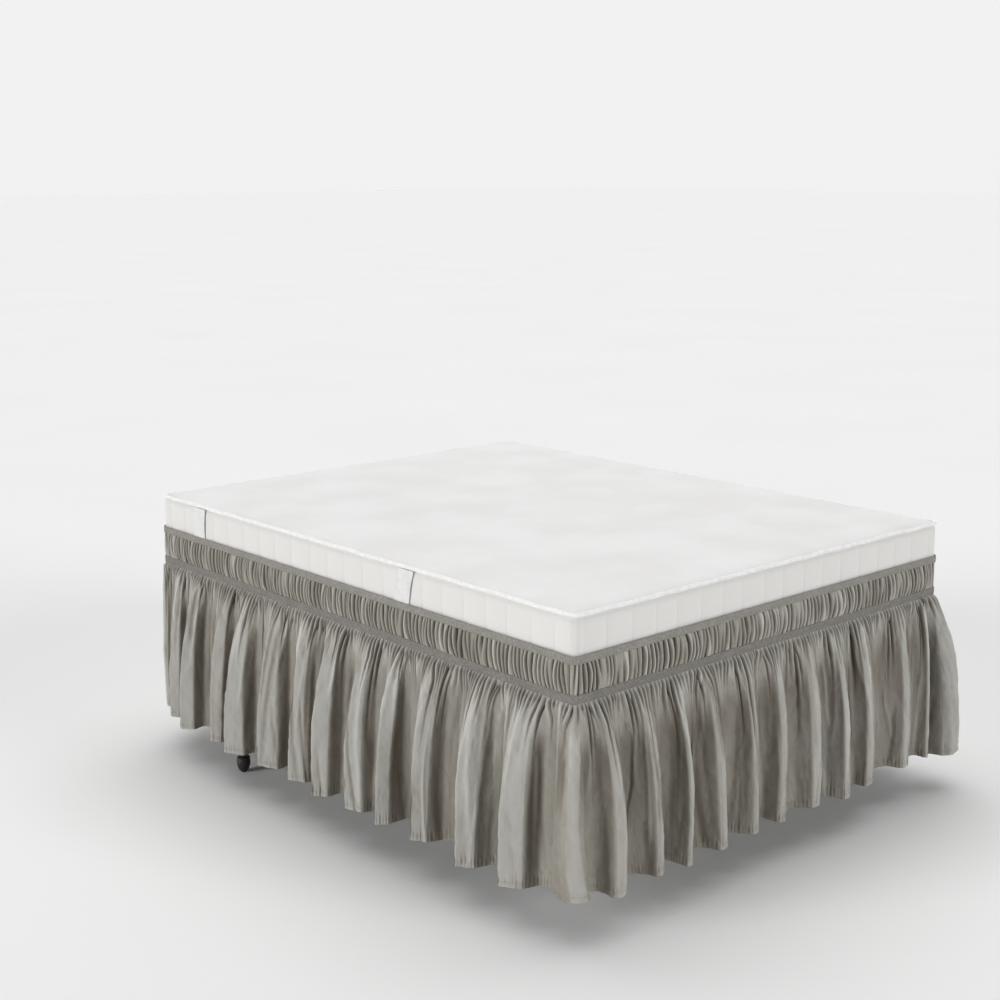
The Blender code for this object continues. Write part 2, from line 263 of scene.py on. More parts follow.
class Crumple:
    """Smooth random hills over a sheet."""

    CELLS = 128

    def __init__(self, seed: int) -> None:
        """Draws the hills' heights."""
        self.heights = np.random.default_rng(seed).uniform(-1, 1, (self.CELLS, self.CELLS))

    def __call__(self, across: Array, down: Array) -> Array:
        """Finds the hills' height.

        Args:
            across: Places across the sheet, in hills.
            down: Places down the sheet, in hills.

        Returns:
            Heights from -1 to 1.
        """
        column, row = np.floor(across).astype(int), np.floor(down).astype(int)
        x, y = across - column, down - row
        x, y = x**3 * (x * (6 * x - 15) + 10), y**3 * (y * (6 * y - 15) + 10)
        left, right = column % self.CELLS, (column + 1) % self.CELLS
        top, bottom = row % self.CELLS, (row + 1) % self.CELLS
        upper = self.heights[top, left] * (1 - x) + self.heights[top, right] * x
        lower = self.heights[bottom, left] * (1 - x) + self.heights[bottom, right] * x
        return upper * (1 - y) + lower * y


@dataclass
class GatherRow:
    """A row of small gathers round the rim, each with its own width, depth and length.

    Between two slits the cloth swells into a ridge. A slit opens at the row's top, its bottom, or both.
    """

    lap: float
    pitch: float
    seed: int
    depths: Range
    reaches: Range
    long_share: float = 0.12
    long_reach: float = 0.09
    two_ended: bool = False
    roundness: float = 0.7
    sink: float = 0.0  # how much lower than its neighbours a ridge may lie
    gap: float = 0.0  # share of a gather's width that its slit's floor takes
    widths: Range = (0.65, 1.35)  # of a gather, in pitches
    long_stray: Range = (0.6, 1.2)
    long_depth: float = 1.15  # how much deeper a long slit is
    top_share: float = 0.62  # of the slits, those open at the top
    both_share: float = 0.45  # of those, the ones open at the bottom too

    def __post_init__(self) -> None:
        """Draws every slit."""
        random = np.random.default_rng(self.seed)
        count = round(self.lap / self.pitch)
        widths = random.uniform(*self.widths, count)
        self.edges = np.concatenate(([0.0], np.cumsum(widths))) * self.lap / widths.sum()
        self.depth = random.uniform(*self.depths, count)
        self.reach = random.uniform(*self.reaches, count)
        chosen = random.random(count) < self.long_share
        self.reach[chosen] = self.long_reach * random.uniform(*self.long_stray, chosen.sum())
        self.depth[chosen] *= self.long_depth
        self.from_top = random.random(count) < self.top_share
        self.from_bottom = ~self.from_top | (random.random(count) < self.both_share)
        self.sunk = random.uniform(0.0, self.sink, count)

    def slit(self, index: Array, down: Array, height: float) -> Array:
        """Finds how deep slits are.

        Args:
            index: The slits' numbers.
            down: Distances below the row's top.
            height: The strip's whole height.

        Returns:
            Depths.
        """
        index = index % len(self.depth)
        reach = self.reach[index]
        upper = hill(down, reach)
        if not self.two_ended:
            return self.depth[index] * upper
        lower = hill(height - down, reach)
        open_share = np.maximum(upper * self.from_top[index], lower * self.from_bottom[index])
        return self.depth[index] * open_share

    def height(self, along: Array, down: Array, height: float) -> Array:
        """Finds the gathers' relief.

        Args:
            along: Distances along the rim.
            down: Distances below the row's top.
            height: The strip's whole height.

        Returns:
            0 on the ridges, and less in the slits.
        """
        along = np.mod(along, self.lap)
        index = np.searchsorted(self.edges, along, side="right") - 1
        index = np.clip(index, 0, len(self.depth) - 1)
        share = (along - self.edges[index]) / (self.edges[index + 1] - self.edges[index])
        across = np.clip((share - self.gap / 2) / (1 - self.gap), 0.0, 1.0)
        ridge = np.sin(math.pi * across) ** self.roundness
        before, after = self.slit(index, down, height), self.slit(index + 1, down, height)
        slits = (1 - share) * before + share * after
        window = 1.0 if self.two_ended else hill(down, max(self.reaches))
        return -(1 - ridge) * slits - ridge * self.sunk[index] * window


# --- Meshes ---
def grid_mesh(
    name: str,
    points: Array,
    cloth: Array,
    closed: bool = False,
    marks: Array | None = None,
) -> Mesh:
    """Makes a sheet's mesh from its rows of points.

    Args:
        name: The mesh's name.
        points: Its points, as rows down the sheet by columns along it, by x, y and z.
        cloth: Places on the flat cloth in metres, by rows and columns. A closed sheet has one more
            column.
        closed: Whether the last column meets the first.
        marks: A number for each point, kept under FOLD_MARK.

    Returns:
        The mesh, with its faces pointing outward.
    """
    rows, columns = points.shape[:2]
    row, column = np.mgrid[0 : rows - 1, 0 : columns if closed else columns - 1]
    row, column = row.ravel(), column.ravel()
    after = (column + 1) % columns
    upper, lower = row * columns, (row + 1) * columns
    faces = np.stack((upper + column, lower + column, lower + after, upper + after), -1)
    mesh = bpy.data.meshes.new(name)
    mesh.from_pydata(points.reshape(-1, 3).tolist(), [], faces.tolist())
    left = cloth[row, column], cloth[row + 1, column]
    right = cloth[row + 1, column + 1], cloth[row, column + 1]
    corners = np.stack((*left, *right), 1)
    layer = mesh.uv_layers.new(name=CLOTH_MAP)
    layer.data.foreach_set("uv", corners.astype(np.float32).ravel())
    if marks is not None:
        mark = mesh.attributes.new(FOLD_MARK, "FLOAT", "POINT")
        mark.data.foreach_set("value", marks.astype(np.float32).ravel())
    mesh.shade_smooth()
    return mesh


def ring_mesh(name: str, points: Array, along: Array, down: Array, lap: float) -> Mesh:
    """Makes the mesh of a sheet that runs all the way round and closes.

    Args:
        name: The mesh's name.
        points: Its points, as rows down the sheet by columns along it.
        along: Each column's distance along the way round, as a row.
        down: How far down the flat cloth each row is, as a column.
        lap: The whole way round.

    Returns:
        The mesh.
    """
    around = np.concatenate((along, [[lap]]), 1)
    return grid_mesh(name, points, np.stack(np.broadcast_arrays(around, down), -1), closed=True)


def add_piece(mesh: Mesh, material: Material, node: str) -> Piece:
    """Puts one made piece in the scene, on the part's body.

    Args:
        mesh: Its mesh, whose name it takes.
        material: Its finish.
        node: The part's node that it stands for.

    Returns:
        The piece.
    """
    piece = bpy.data.objects.new(mesh.name, mesh)
    piece.data.materials.append(material)
    bpy.context.scene.collection.objects.link(piece)
    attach(piece, ROOT)
    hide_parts(node)
    log.info("made %s", mesh.name)
    return piece


def weld(mesh: Mesh) -> None:
    """Joins a sheet's points where they meet.

    Args:
        mesh: The sheet's mesh.
    """
    shape = bmesh.new()
    shape.from_mesh(mesh)
    bmesh.ops.remove_doubles(shape, verts=shape.verts, dist=SAME_POINT)
    shape.to_mesh(mesh)
    shape.free()


def thicken(piece: Piece, thickness: float) -> None:
    """Gives a sheet its thickness, inward from its outer face.

    Args:
        piece: The sheet.
        thickness: How thick it is.
    """
    wall = piece.modifiers.new("Thickness", "SOLIDIFY")
    wall.thickness = thickness
    wall.offset = -1.0


def sheet_normals(points: Array) -> Array:
    """The outward directions of a sheet of points, by rows and columns."""
    normals = np.cross(np.gradient(points, axis=0), np.gradient(points, axis=1))
    return normals / np.maximum(np.linalg.norm(normals, axis=-1, keepdims=True), 1e-12)


def top_and_bottom(node: str) -> Range:
    """The heights of a node's highest and lowest points above the floor."""
    low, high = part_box(node)
    return high.z, low.z


# --- Finishes ---
@dataclass(frozen=True)
class Mottle:
    """Cloudy patches: how fine they are, the part of their range that shows, and how strongly."""

    scale: float
    low: float = 0.3
    high: float = 0.7
    strength: float = 1.0
    detail: float = 3.0


@dataclass(frozen=True)
class Tone:
    """A colour that the cloth takes by how open it lies, as painted shade in hollows and painted light on
    open faces: where it starts, where it is full, how strong.
    """

    start: float
    full: float
    strength: float
    colour: Colour


class Recipe:
    """One material's nodes, laid down by name."""

    SHEEN_ROUGHNESS = 0.45

    def __init__(self, name: str, roughness: float, metallic: float = 0.0, sheen: float = 0.0) -> None:
        """Starts a material with what is the same all over it.

        Args:
            name: The material's name.
            roughness: How matt it is.
            metallic: Whether it is bare metal.
            sheen: How much its fuzz catches the light.
        """
        self.material = bpy.data.materials.new(name)
        self.material.use_nodes = True
        self.tree = self.material.node_tree
        self.shader = self.tree.nodes["Principled BSDF"]
        self.shader.inputs["Roughness"].default_value = roughness
        self.shader.inputs["Metallic"].default_value = metallic
        self.shader.inputs["Sheen Weight"].default_value = sheen
        self.shader.inputs["Sheen Roughness"].default_value = self.SHEEN_ROUGHNESS

    def node(self, kind: str, sources: Sources | None = None, **settings: str) -> bpy.types.Node:
        """Adds one node.

        Args:
            kind: Its type, without ShaderNode.
            sources: For each of its inputs, a number, a colour, or the output that feeds it.
            **settings: Its own settings.

        Returns:
            The node.
        """
        made = self.tree.nodes.new(f"ShaderNode{kind}")
        for key, value in settings.items():
            setattr(made, key, value)
        for key, value in (sources or {}).items():
            if isinstance(value, Socket):
                self.tree.links.new(value, made.inputs[key])
            else:
                made.inputs[key].default_value = value
        return made

    def maths(self, operation: str, first: Source, second: Source = 0.0) -> Socket:
        """The result of one sum on two numbers or outputs."""
        return self.node("Math", {0: first, 1: second}, operation=operation).outputs[0]

    def times(self, first: Source, second: Source) -> Socket:
        """One number times another."""
        return self.maths("MULTIPLY", first, second)

    def wave(self, distance: Source, pitch: float) -> Socket:
        """An even wave along a distance, from -1 to 1."""
        return self.maths("SINE", self.times(distance, TURN / pitch))

    def cloth_map(self) -> Socket:
        """Where each point is on its flat cloth, in metres."""
        return self.node("UVMap", uv_map=CLOTH_MAP).outputs[0]

    def cloth_place(self) -> tuple[Socket, Socket]:
        """How far across and down its flat cloth each point is, in metres."""
        parts = self.node("SeparateXYZ", {0: self.cloth_map()})
        return parts.outputs[0], parts.outputs[1]

    def solid_place(self) -> Socket:
        """Where each point is in the object's own space."""
        return self.node("TexCoord").outputs["Object"]

    def noise(self, place: Source, scale: float, detail: float = 2.0) -> Socket:
        """Soft cloudy unevenness, from 0 to 1."""
        return self.node("TexNoise", {"Vector": place, "Scale": scale, "Detail": detail}).outputs[0]

    def stretched(self, place: Source, scale: Colour) -> Socket:
        """A place scaled differently along each axis."""
        return self.node("Mapping", {"Vector": place, "Scale": scale}).outputs[0]

    def threads(self, across: Source, down: Source, pitch: float) -> Socket:
        """A plain weave's relief: threads that cross over and under each other."""
        return self.maths("MULTIPLY_ADD", self.times(self.wave(across, pitch), self.wave(down, pitch)), 0.5)

    def line(self, distance: Source, middle: float, width: float) -> Socket:
        """1 along a line at that distance, and 0 away from it."""
        away = self.maths("ABSOLUTE", self.maths("SUBTRACT", distance, middle))
        return self.maths("LESS_THAN", away, width / 2)

    def mix(self, share: Source, first: Source, second: Source) -> Socket:
        """Lays one colour over another.

        Args:
            share: How much of the second shows.
            first: The colour below.
            second: The colour above.

        Returns:
            The mixed colour.
        """
        made = self.node("Mix", data_type="RGBA")
        for socket, value in ((made.inputs[0], share), (made.inputs[6], first), (made.inputs[7], second)):
            if isinstance(value, Socket):
                self.tree.links.new(value, socket)
            else:
                socket.default_value = (*value, 1.0) if isinstance(value, tuple) else value
        return made.outputs[2]

    def graded(
        self, share: Source, low: float, high: float, first: float = 0.0, last: float = 1.0
    ) -> Socket:
        """A number brought softly from the range low to high into the range first to last."""
        sources = {0: share, 1: low, 2: high, 3: first, 4: last}
        return self.node("MapRange", sources, interpolation_type="SMOOTHSTEP").outputs[0]

    def mottle(self, place: Source, patches: Mottle) -> Socket:
        """Cloudy patches, from 0 to their strength."""
        cloud = self.noise(place, patches.scale, patches.detail)
        return self.graded(cloud, patches.low, patches.high, 0.0, patches.strength)

    def raise_relief(self, *layers: tuple[Source, float]) -> None:
        """Lays reliefs over each other as bump.

        Args:
            *layers: Each relief, with its height in metres.
        """
        normal = None
        for height, distance in layers:
            sources: Sources = {"Height": height, "Distance": distance, "Strength": 1.0}
            if normal is not None:
                sources["Normal"] = normal
            normal = self.node("Bump", sources).outputs[0]
        self.tree.links.new(normal, self.shader.inputs["Normal"])

    def colour(self, source: Socket) -> None:
        """Feeds the base colour."""
        self.tree.links.new(source, self.shader.inputs["Base Color"])

    def roughen(self, source: Socket) -> None:
        """Feeds the roughness."""
        self.tree.links.new(source, self.shader.inputs["Roughness"])


@dataclass(frozen=True, kw_only=True)
class Finish:
    """What every finish has."""

    name: str
    roughness: float
    metallic: float = 0.0
    sheen: float = 0.0

    def make(self) -> Material:
        """Makes the material.

        Returns:
            The material.
        """
        recipe = Recipe(self.name, self.roughness, self.metallic, self.sheen)
        self.lay(recipe)
        return recipe.material

    def lay(self, recipe: Recipe) -> None:
        """Lays the colour, the roughness and the relief."""
        raise NotImplementedError


@dataclass(frozen=True, kw_only=True)
class ClothFinish(Finish):
    """Brushed microfibre in warm grey, with its weave, its mottling, its creases and its hem's stitches, and
    painted light and painted shade by how open the cloth lies.
    """

    name: str = "brushed_microfibre"
    deep: Colour = (0.272, 0.252, 0.208)
    pale: Colour = (0.388, 0.370, 0.316)
    cool: Colour = (0.338, 0.338, 0.326)
    # painted shade in the hollows and slits, painted light on smooth faces and a painted highlight on ridges
    painted_tones: tuple[Tone, ...] = (
        Tone(0.75, -0.25, 0.92, (0.140, 0.119, 0.092)),  # painted shade in hollows
        Tone(-0.15, -0.75, 0.9, (0.038, 0.030, 0.025)),  # painted shade in slits
        Tone(0.80, 1.05, 0.7, (0.47, 0.46, 0.43)),  # painted light on smooth faces
        Tone(1.00, 1.30, 0.6, (0.60, 0.59, 0.55)),  # painted highlight on ridges
    )
    roughness: float = 0.82
    sheen: float = 0.05
    blotches: Mottle = Mottle(3.2)
    cool_strength: float = 0.55
    slub_strength: float = 0.10
    fine_scale: float = 55.0
    brushed: Triple = (0.50, 0.72, 0.30)  # the part of the fine noise that shows, and how strongly
    streaks: Mottle = Mottle(26.0, 0.48, 0.66, 0.40)
    crease_scale: float = 42.0
    crease_bend: float = 0.9
    crease_height: float = 0.0030
    thread_pitch: float = 0.0007
    thread_height: float = 0.00006
    hem_place: float = 0.4705
    hem_blend: float = 0.012
    hem_strength: float = 0.35
    stitch_length: float = 0.0034
    stitch_width: float = 0.0010
    stitch_height: float = 0.0003

    def lay(self, recipe: Recipe) -> None:
        """Lays the colour, the roughness and the relief.

        Args:
            recipe: The material's nodes.
        """
        across, down = recipe.cloth_place()
        place = recipe.solid_place()
        fine = recipe.noise(place, self.fine_scale, 3.0)
        body = recipe.mix(recipe.mottle(place, self.blotches), self.deep, self.pale)
        cool = recipe.times(recipe.noise(place, 1.3), self.cool_strength)
        body = recipe.mix(cool, body, self.cool)
        slub = recipe.noise(recipe.stretched(recipe.cloth_map(), (900, 40, 1)), 1.0, 1.0)
        body = recipe.mix(recipe.times(slub, self.slub_strength), body, self.deep)
        low, high, strength = self.brushed
        body = recipe.mix(recipe.graded(fine, low, high, 0.0, strength), body, self.deep)
        streaks = recipe.mottle(recipe.stretched(place, (1.0, 1.0, 0.22)), self.streaks)
        body = recipe.mix(streaks, body, self.deep)
        hem = recipe.graded(down, self.hem_place - self.hem_blend, self.hem_place, 0.0, self.hem_strength)
        body = recipe.mix(hem, body, self.deep)
        fold = recipe.node("Attribute", attribute_name=FOLD_MARK, attribute_type="GEOMETRY").outputs["Fac"]
        # lays the painted shade and painted light by how open the cloth lies
        for tone in self.painted_tones:
            share = recipe.graded(fold, tone.start, tone.full, 0.0, tone.strength)
            body = recipe.mix(share, body, tone.colour)
        seam = recipe.line(down, self.hem_place, self.stitch_width)
        stitch = recipe.times(seam, self.dashes(recipe, across))
        recipe.colour(recipe.mix(recipe.times(stitch, 0.5), body, self.deep))
        recipe.roughen(recipe.graded(fine, 0.3, 0.7, 0.76, 0.90))
        wrinkled: Sources = {"Vector": recipe.stretched(place, (1, 1, 0.45)), "Scale": self.crease_scale}
        wrinkled |= {"Detail": 3.0, "Distortion": self.crease_bend}
        recipe.raise_relief(
            (recipe.node("TexNoise", wrinkled).outputs[0], self.crease_height),
            (recipe.threads(across, down, self.thread_pitch), self.thread_height),
            (stitch, self.stitch_height),
        )

    def dashes(self, recipe: Recipe, across: Socket) -> Socket:
        """1 where a stitch lies on the cloth, and 0 where it dips through."""
        return recipe.maths("GREATER_THAN", recipe.wave(across, self.stitch_length), -0.35)


@dataclass(frozen=True, kw_only=True)
class TapeFinish(Finish):
    """Woven elastic with fine ribs along it, crossed by covering threads, with dark knots and pale flecks."""

    name: str = "ribbed_elastic"
    deep: Colour = (0.275, 0.258, 0.232)
    pale: Colour = (0.370, 0.352, 0.320)
    fleck: Colour = (0.430, 0.412, 0.376)
    roughness: float = 0.78
    sheen: float = 0.12
    clouds: Mottle = Mottle(22.0)
    knots: Mottle = Mottle(150.0, 0.42, 0.60, detail=2.0)
    flecks: Mottle = Mottle(260.0, 0.52, 0.66, 0.65, detail=1.0)
    rib_pitch: float = 0.0021
    rib_height: float = 0.00026
    # how much painted shade darkens the furrows between the ribs
    furrow_shade_strength: float = 0.45
    cross_pitch: float = 0.0013
    cross_height: float = 0.00010
    grain_scale: float = 170.0
    grain_height: float = 0.0014

    def lay(self, recipe: Recipe) -> None:
        """Lays the colour, the roughness and the relief.

        Args:
            recipe: The material's nodes.
        """
        across, down = recipe.cloth_place()
        place = recipe.solid_place()
        ribs = recipe.wave(down, self.rib_pitch)
        shade = recipe.mottle(place, self.clouds)
        body = recipe.mix(shade, self.deep, self.pale)
        # painted shade in the furrows between the ribs, where their relief is low
        body = recipe.mix(recipe.graded(ribs, -0.2, -1.0, 0.0, self.furrow_shade_strength), body, self.deep)
        body = recipe.mix(recipe.mottle(place, self.knots), body, self.deep)
        recipe.colour(recipe.mix(recipe.mottle(place, self.flecks), body, self.fleck))
        recipe.roughen(recipe.graded(shade, 0.0, 1.0, 0.72, 0.86))
        recipe.raise_relief(
            (ribs, self.rib_height),
            (recipe.wave(across, self.cross_pitch), self.cross_height),
            (recipe.noise(place, self.grain_scale), self.grain_height),
        )


@dataclass(frozen=True, kw_only=True)
class TickingFinish(Finish):
    """White knitted mattress ticking with a small raised lozenge, and a warmer border."""

    name: str = "white_ticking"
    deep: Colour = (0.780, 0.772, 0.764)
    pale: Colour = (0.835, 0.831, 0.830)
    border: Colour = (0.785, 0.774, 0.752)
    border_edge: Range = (0.830, 0.822)  # the heights above the floor between which the border's tone sets in
    roughness: float = 0.86
    sheen: float = 0.10
    clouds: Mottle = Mottle(4.5)
    loop_pitch: float = 0.0022
    loop_height: float = 0.00008
    lozenge_pitch: float = 0.021
    lozenge_height: float = 0.00016
    # how much painted shade darkens the lozenge's furrows
    lozenge_strength: float = 0.16
    slack_scale: float = 14.0
    slack_height: float = 0.0012

    def lay(self, recipe: Recipe) -> None:
        """Lays the colour, the roughness and the relief.

        Args:
            recipe: The material's nodes.
        """
        place = recipe.solid_place()
        x, y, z = recipe.node("SeparateXYZ", {0: place}).outputs
        lapwise, slope = recipe.maths("ADD", x, y), recipe.maths("SUBTRACT", x, y)
        first = recipe.wave(recipe.maths("ADD", lapwise, z), self.lozenge_pitch)
        second = recipe.wave(recipe.maths("SUBTRACT", slope, z), self.lozenge_pitch)
        lozenge = recipe.times(first, second)
        cloud = recipe.mottle(place, self.clouds)
        top = recipe.mix(cloud, self.deep, self.pale)
        body = recipe.mix(recipe.graded(z, *self.border_edge), top, self.border)
        # painted shade in the lozenge's furrows, where its relief is low
        furrow = recipe.graded(lozenge, 0.0, -0.6, 0.0, self.lozenge_strength)
        recipe.colour(recipe.mix(furrow, body, self.deep))
        recipe.roughen(recipe.graded(cloud, 0.0, 1.0, 0.80, 0.92))
        loops = recipe.threads(lapwise, recipe.maths("ADD", slope, z), self.loop_pitch)
        recipe.raise_relief(
            (recipe.noise(place, self.slack_scale, 3.0), self.slack_height),
            (lozenge, self.lozenge_height),
            (loops, self.loop_height),
        )


@dataclass(frozen=True, kw_only=True)
class WebbingFinish(Finish):
    """White woven webbing in a herringbone, for the handles and, finer, the piping's cover."""

    deep: Colour
    pale: Colour
    rib_pitch: float
    slant: float
    zigzag: float = 0.006  # half of a herringbone's width
    rib_share: float = 0.02  # a rib's height over its pitch
    roughness: float = 0.74
    sheen: float = 0.10
    cloud_scale: float = 60.0
    cloud_height: float = 0.00015

    def lay(self, recipe: Recipe) -> None:
        """Lays the colour, the roughness and the relief.

        Args:
            recipe: The material's nodes.
        """
        across, down = recipe.cloth_place()
        lean = recipe.times(recipe.maths("PINGPONG", across, self.zigzag), self.slant)
        ribs = recipe.wave(recipe.maths("ADD", down, lean), self.rib_pitch)
        cloud = recipe.noise(recipe.solid_place(), self.cloud_scale, 3.0)
        body = recipe.mix(recipe.graded(cloud, 0.3, 0.7), self.deep, self.pale)
        # painted shade in the troughs between the ribs, where their relief is low
        recipe.colour(recipe.mix(recipe.graded(ribs, -0.3, -1.0, 0.0, 0.25), body, self.deep))
        recipe.roughen(recipe.graded(cloud, 0.3, 0.7, 0.66, 0.82))
        recipe.raise_relief((ribs, self.rib_share * self.rib_pitch), (cloud, self.cloud_height))


@dataclass(frozen=True, kw_only=True)
class CoverFinish(Finish):
    """The foundation's plain woven cover, with small raised grip dots."""

    name: str = "foundation_cover"
    deep: Colour = (0.50, 0.49, 0.47)
    pale: Colour = (0.66, 0.65, 0.63)
    roughness: float = 0.88
    sheen: float = 0.05
    clouds: Mottle = Mottle(9.0, detail=4.0)
    thread_pitch: float = 0.0012
    thread_height: float = 0.00012
    dot_pitch: float = 0.012
    dot_height: float = 0.0004

    def lay(self, recipe: Recipe) -> None:
        """Lays the colour, the roughness and the relief.

        Args:
            recipe: The material's nodes.
        """
        across, down = recipe.cloth_place()
        body = recipe.mix(recipe.mottle(recipe.solid_place(), self.clouds), self.deep, self.pale)
        rows = recipe.times(recipe.wave(across, self.dot_pitch), recipe.wave(down, self.dot_pitch))
        dots = recipe.graded(rows, 0.72, 0.86)
        recipe.colour(recipe.mix(recipe.times(dots, 0.5), body, self.deep))
        recipe.roughen(recipe.graded(dots, 0.0, 1.0, 0.90, 0.55))
        weave = recipe.threads(across, down, self.thread_pitch)
        recipe.raise_relief((dots, self.dot_height), (weave, self.thread_height))


@dataclass(frozen=True, kw_only=True)
class HardFinish(Finish):
    """Coated steel or moulded plastic: a fine orange peel, dull rubbed patches and small scratches."""

    base: Colour
    rubbed: Colour
    peel: float
    wear: Mottle = Mottle(11.0, 0.50, 0.72, detail=4.0)
    scratch_stretch: Colour = (260.0, 260.0, 14.0)
    scratches: Mottle = Mottle(1.0, 0.62, 0.70, 0.5, detail=2.0)
    peel_scale: float = 420.0

    def lay(self, recipe: Recipe) -> None:
        """Lays the colour, the roughness and the relief.

        Args:
            recipe: The material's nodes.
        """
        place = recipe.solid_place()
        worn = recipe.mottle(place, self.wear)
        marks = recipe.mottle(recipe.stretched(place, self.scratch_stretch), self.scratches)
        body = recipe.mix(recipe.times(worn, 0.5), self.base, self.rubbed)
        recipe.colour(recipe.mix(marks, body, self.rubbed))
        recipe.roughen(recipe.graded(worn, 0.0, 1.0, self.roughness - 0.08, self.roughness + 0.16))
        recipe.raise_relief((recipe.noise(place, self.peel_scale, 1.0), self.peel), (marks, self.peel))


@dataclass(frozen=True, kw_only=True)
class FloorFinish(Finish):
    """A pale, matt studio floor."""

    name: str = "studio_floor"
    deep: Colour = (0.86, 0.86, 0.86)
    pale: Colour = (0.90, 0.90, 0.90)
    roughness: float = 0.95
    cloud_scale: float = 0.7

    def lay(self, recipe: Recipe) -> None:
        """Lays the colour alone."""
        cloud = recipe.noise(recipe.solid_place(), self.cloud_scale)
        recipe.colour(recipe.mix(cloud, self.deep, self.pale))


# the lower tape's elastic, darker as painted shade from the heading that swells out above it
SHADED_TAPE = TapeFinish(
    name="shaded_elastic", deep=(0.200, 0.189, 0.168), pale=(0.285, 0.272, 0.248), fleck=(0.340, 0.326, 0.296)
)
PIPING_TAPE = WebbingFinish(
    name="piping_tape", deep=(0.86, 0.86, 0.855), pale=(0.95, 0.95, 0.945), rib_pitch=0.0016, slant=0.6
)
HANDLE_WEBBING = WebbingFinish(
    name="handle_webbing", deep=(0.75, 0.75, 0.745), pale=(0.83, 0.83, 0.825), rib_pitch=0.0030, slant=1.0
)
COATED_STEEL = HardFinish(
    name="coated_steel", base=(0.022, 0.022, 0.024), rubbed=(0.055, 0.053, 0.05), roughness=0.42, peel=1e-04
)
MOULDED_PLASTIC = HardFinish(
    name="moulded_plastic", base=(0.016, 0.013, 0.013), rubbed=(0.045, 0.04, 0.04), roughness=0.46, peel=8e-05
)


@dataclass
class Finishes:
    """Every material, made once."""

    cloth: Material
    tape: Material
    lower_tape: Material
    ticking: Material
    piping: Material
    webbing: Material
    foundation: Material
    steel: Material
    plastic: Material

    @classmethod
    def mix_all(cls) -> Finishes:
        """Makes the materials.

        Returns:
            All of them.
        """
        skirt = ClothFinish(), TapeFinish(), SHADED_TAPE
        mattress = TickingFinish(), PIPING_TAPE, HANDLE_WEBBING
        base = CoverFinish(), COATED_STEEL, MOULDED_PLASTIC
        return cls(*(finish.make() for finish in (*skirt, *mattress, *base)))


# --- The drop's folds ---
class Fold(NamedTuple):
    """One fold: where its first valley and its crest are along its side, and how far each stands out."""

    valley: float
    crest: float
    valley_out: float
    crest_out: float

    def moved(self, way: float) -> Fold:
        """The same fold further along."""
        return self._replace(valley=way + self.valley, crest=way + self.crest)


LEFT_FOLDS = (
    # valley, crest, valley out, crest out
    (-0.045, 0.000, 0.013, 0.024),
    (0.050, 0.103, 0.014, 0.070),
    (0.164, 0.214, 0.019, 0.096),
    (0.286, 0.389, 0.034, 0.098),
    (0.456, 0.489, 0.056, 0.107),
    (0.596, 0.661, 0.034, 0.101),
    (0.756, 0.816, 0.029, 0.095),
    (0.894, 0.944, 0.039, 0.112),
    (1.039, 1.101, 0.034, 0.106),
    (1.184, 1.229, 0.050, 0.098),
    (1.286, 1.386, 0.014, 0.104),
    (1.486, 1.576, 0.024, 0.112),
    (1.666, 1.736, 0.031, 0.106),
)
FOOT_FOLDS = (
    # valley, crest, valley out, crest out
    (-0.035, 0.003, 0.022, 0.070),
    (0.016, 0.080, 0.026, 0.090),
    (0.150, 0.222, 0.018, 0.088),
    (0.288, 0.342, 0.018, 0.086),
    (0.408, 0.468, 0.028, 0.084),
    (0.548, 0.615, 0.014, 0.077),
    (0.678, 0.742, 0.014, 0.069),
    (0.805, 0.875, 0.032, 0.076),
    (0.948, 1.006, 0.028, 0.084),
    (1.072, 1.110, 0.038, 0.078),
    (1.232, 1.325, 0.013, 0.058),
    (1.412, 1.448, 0.018, 0.054),
)


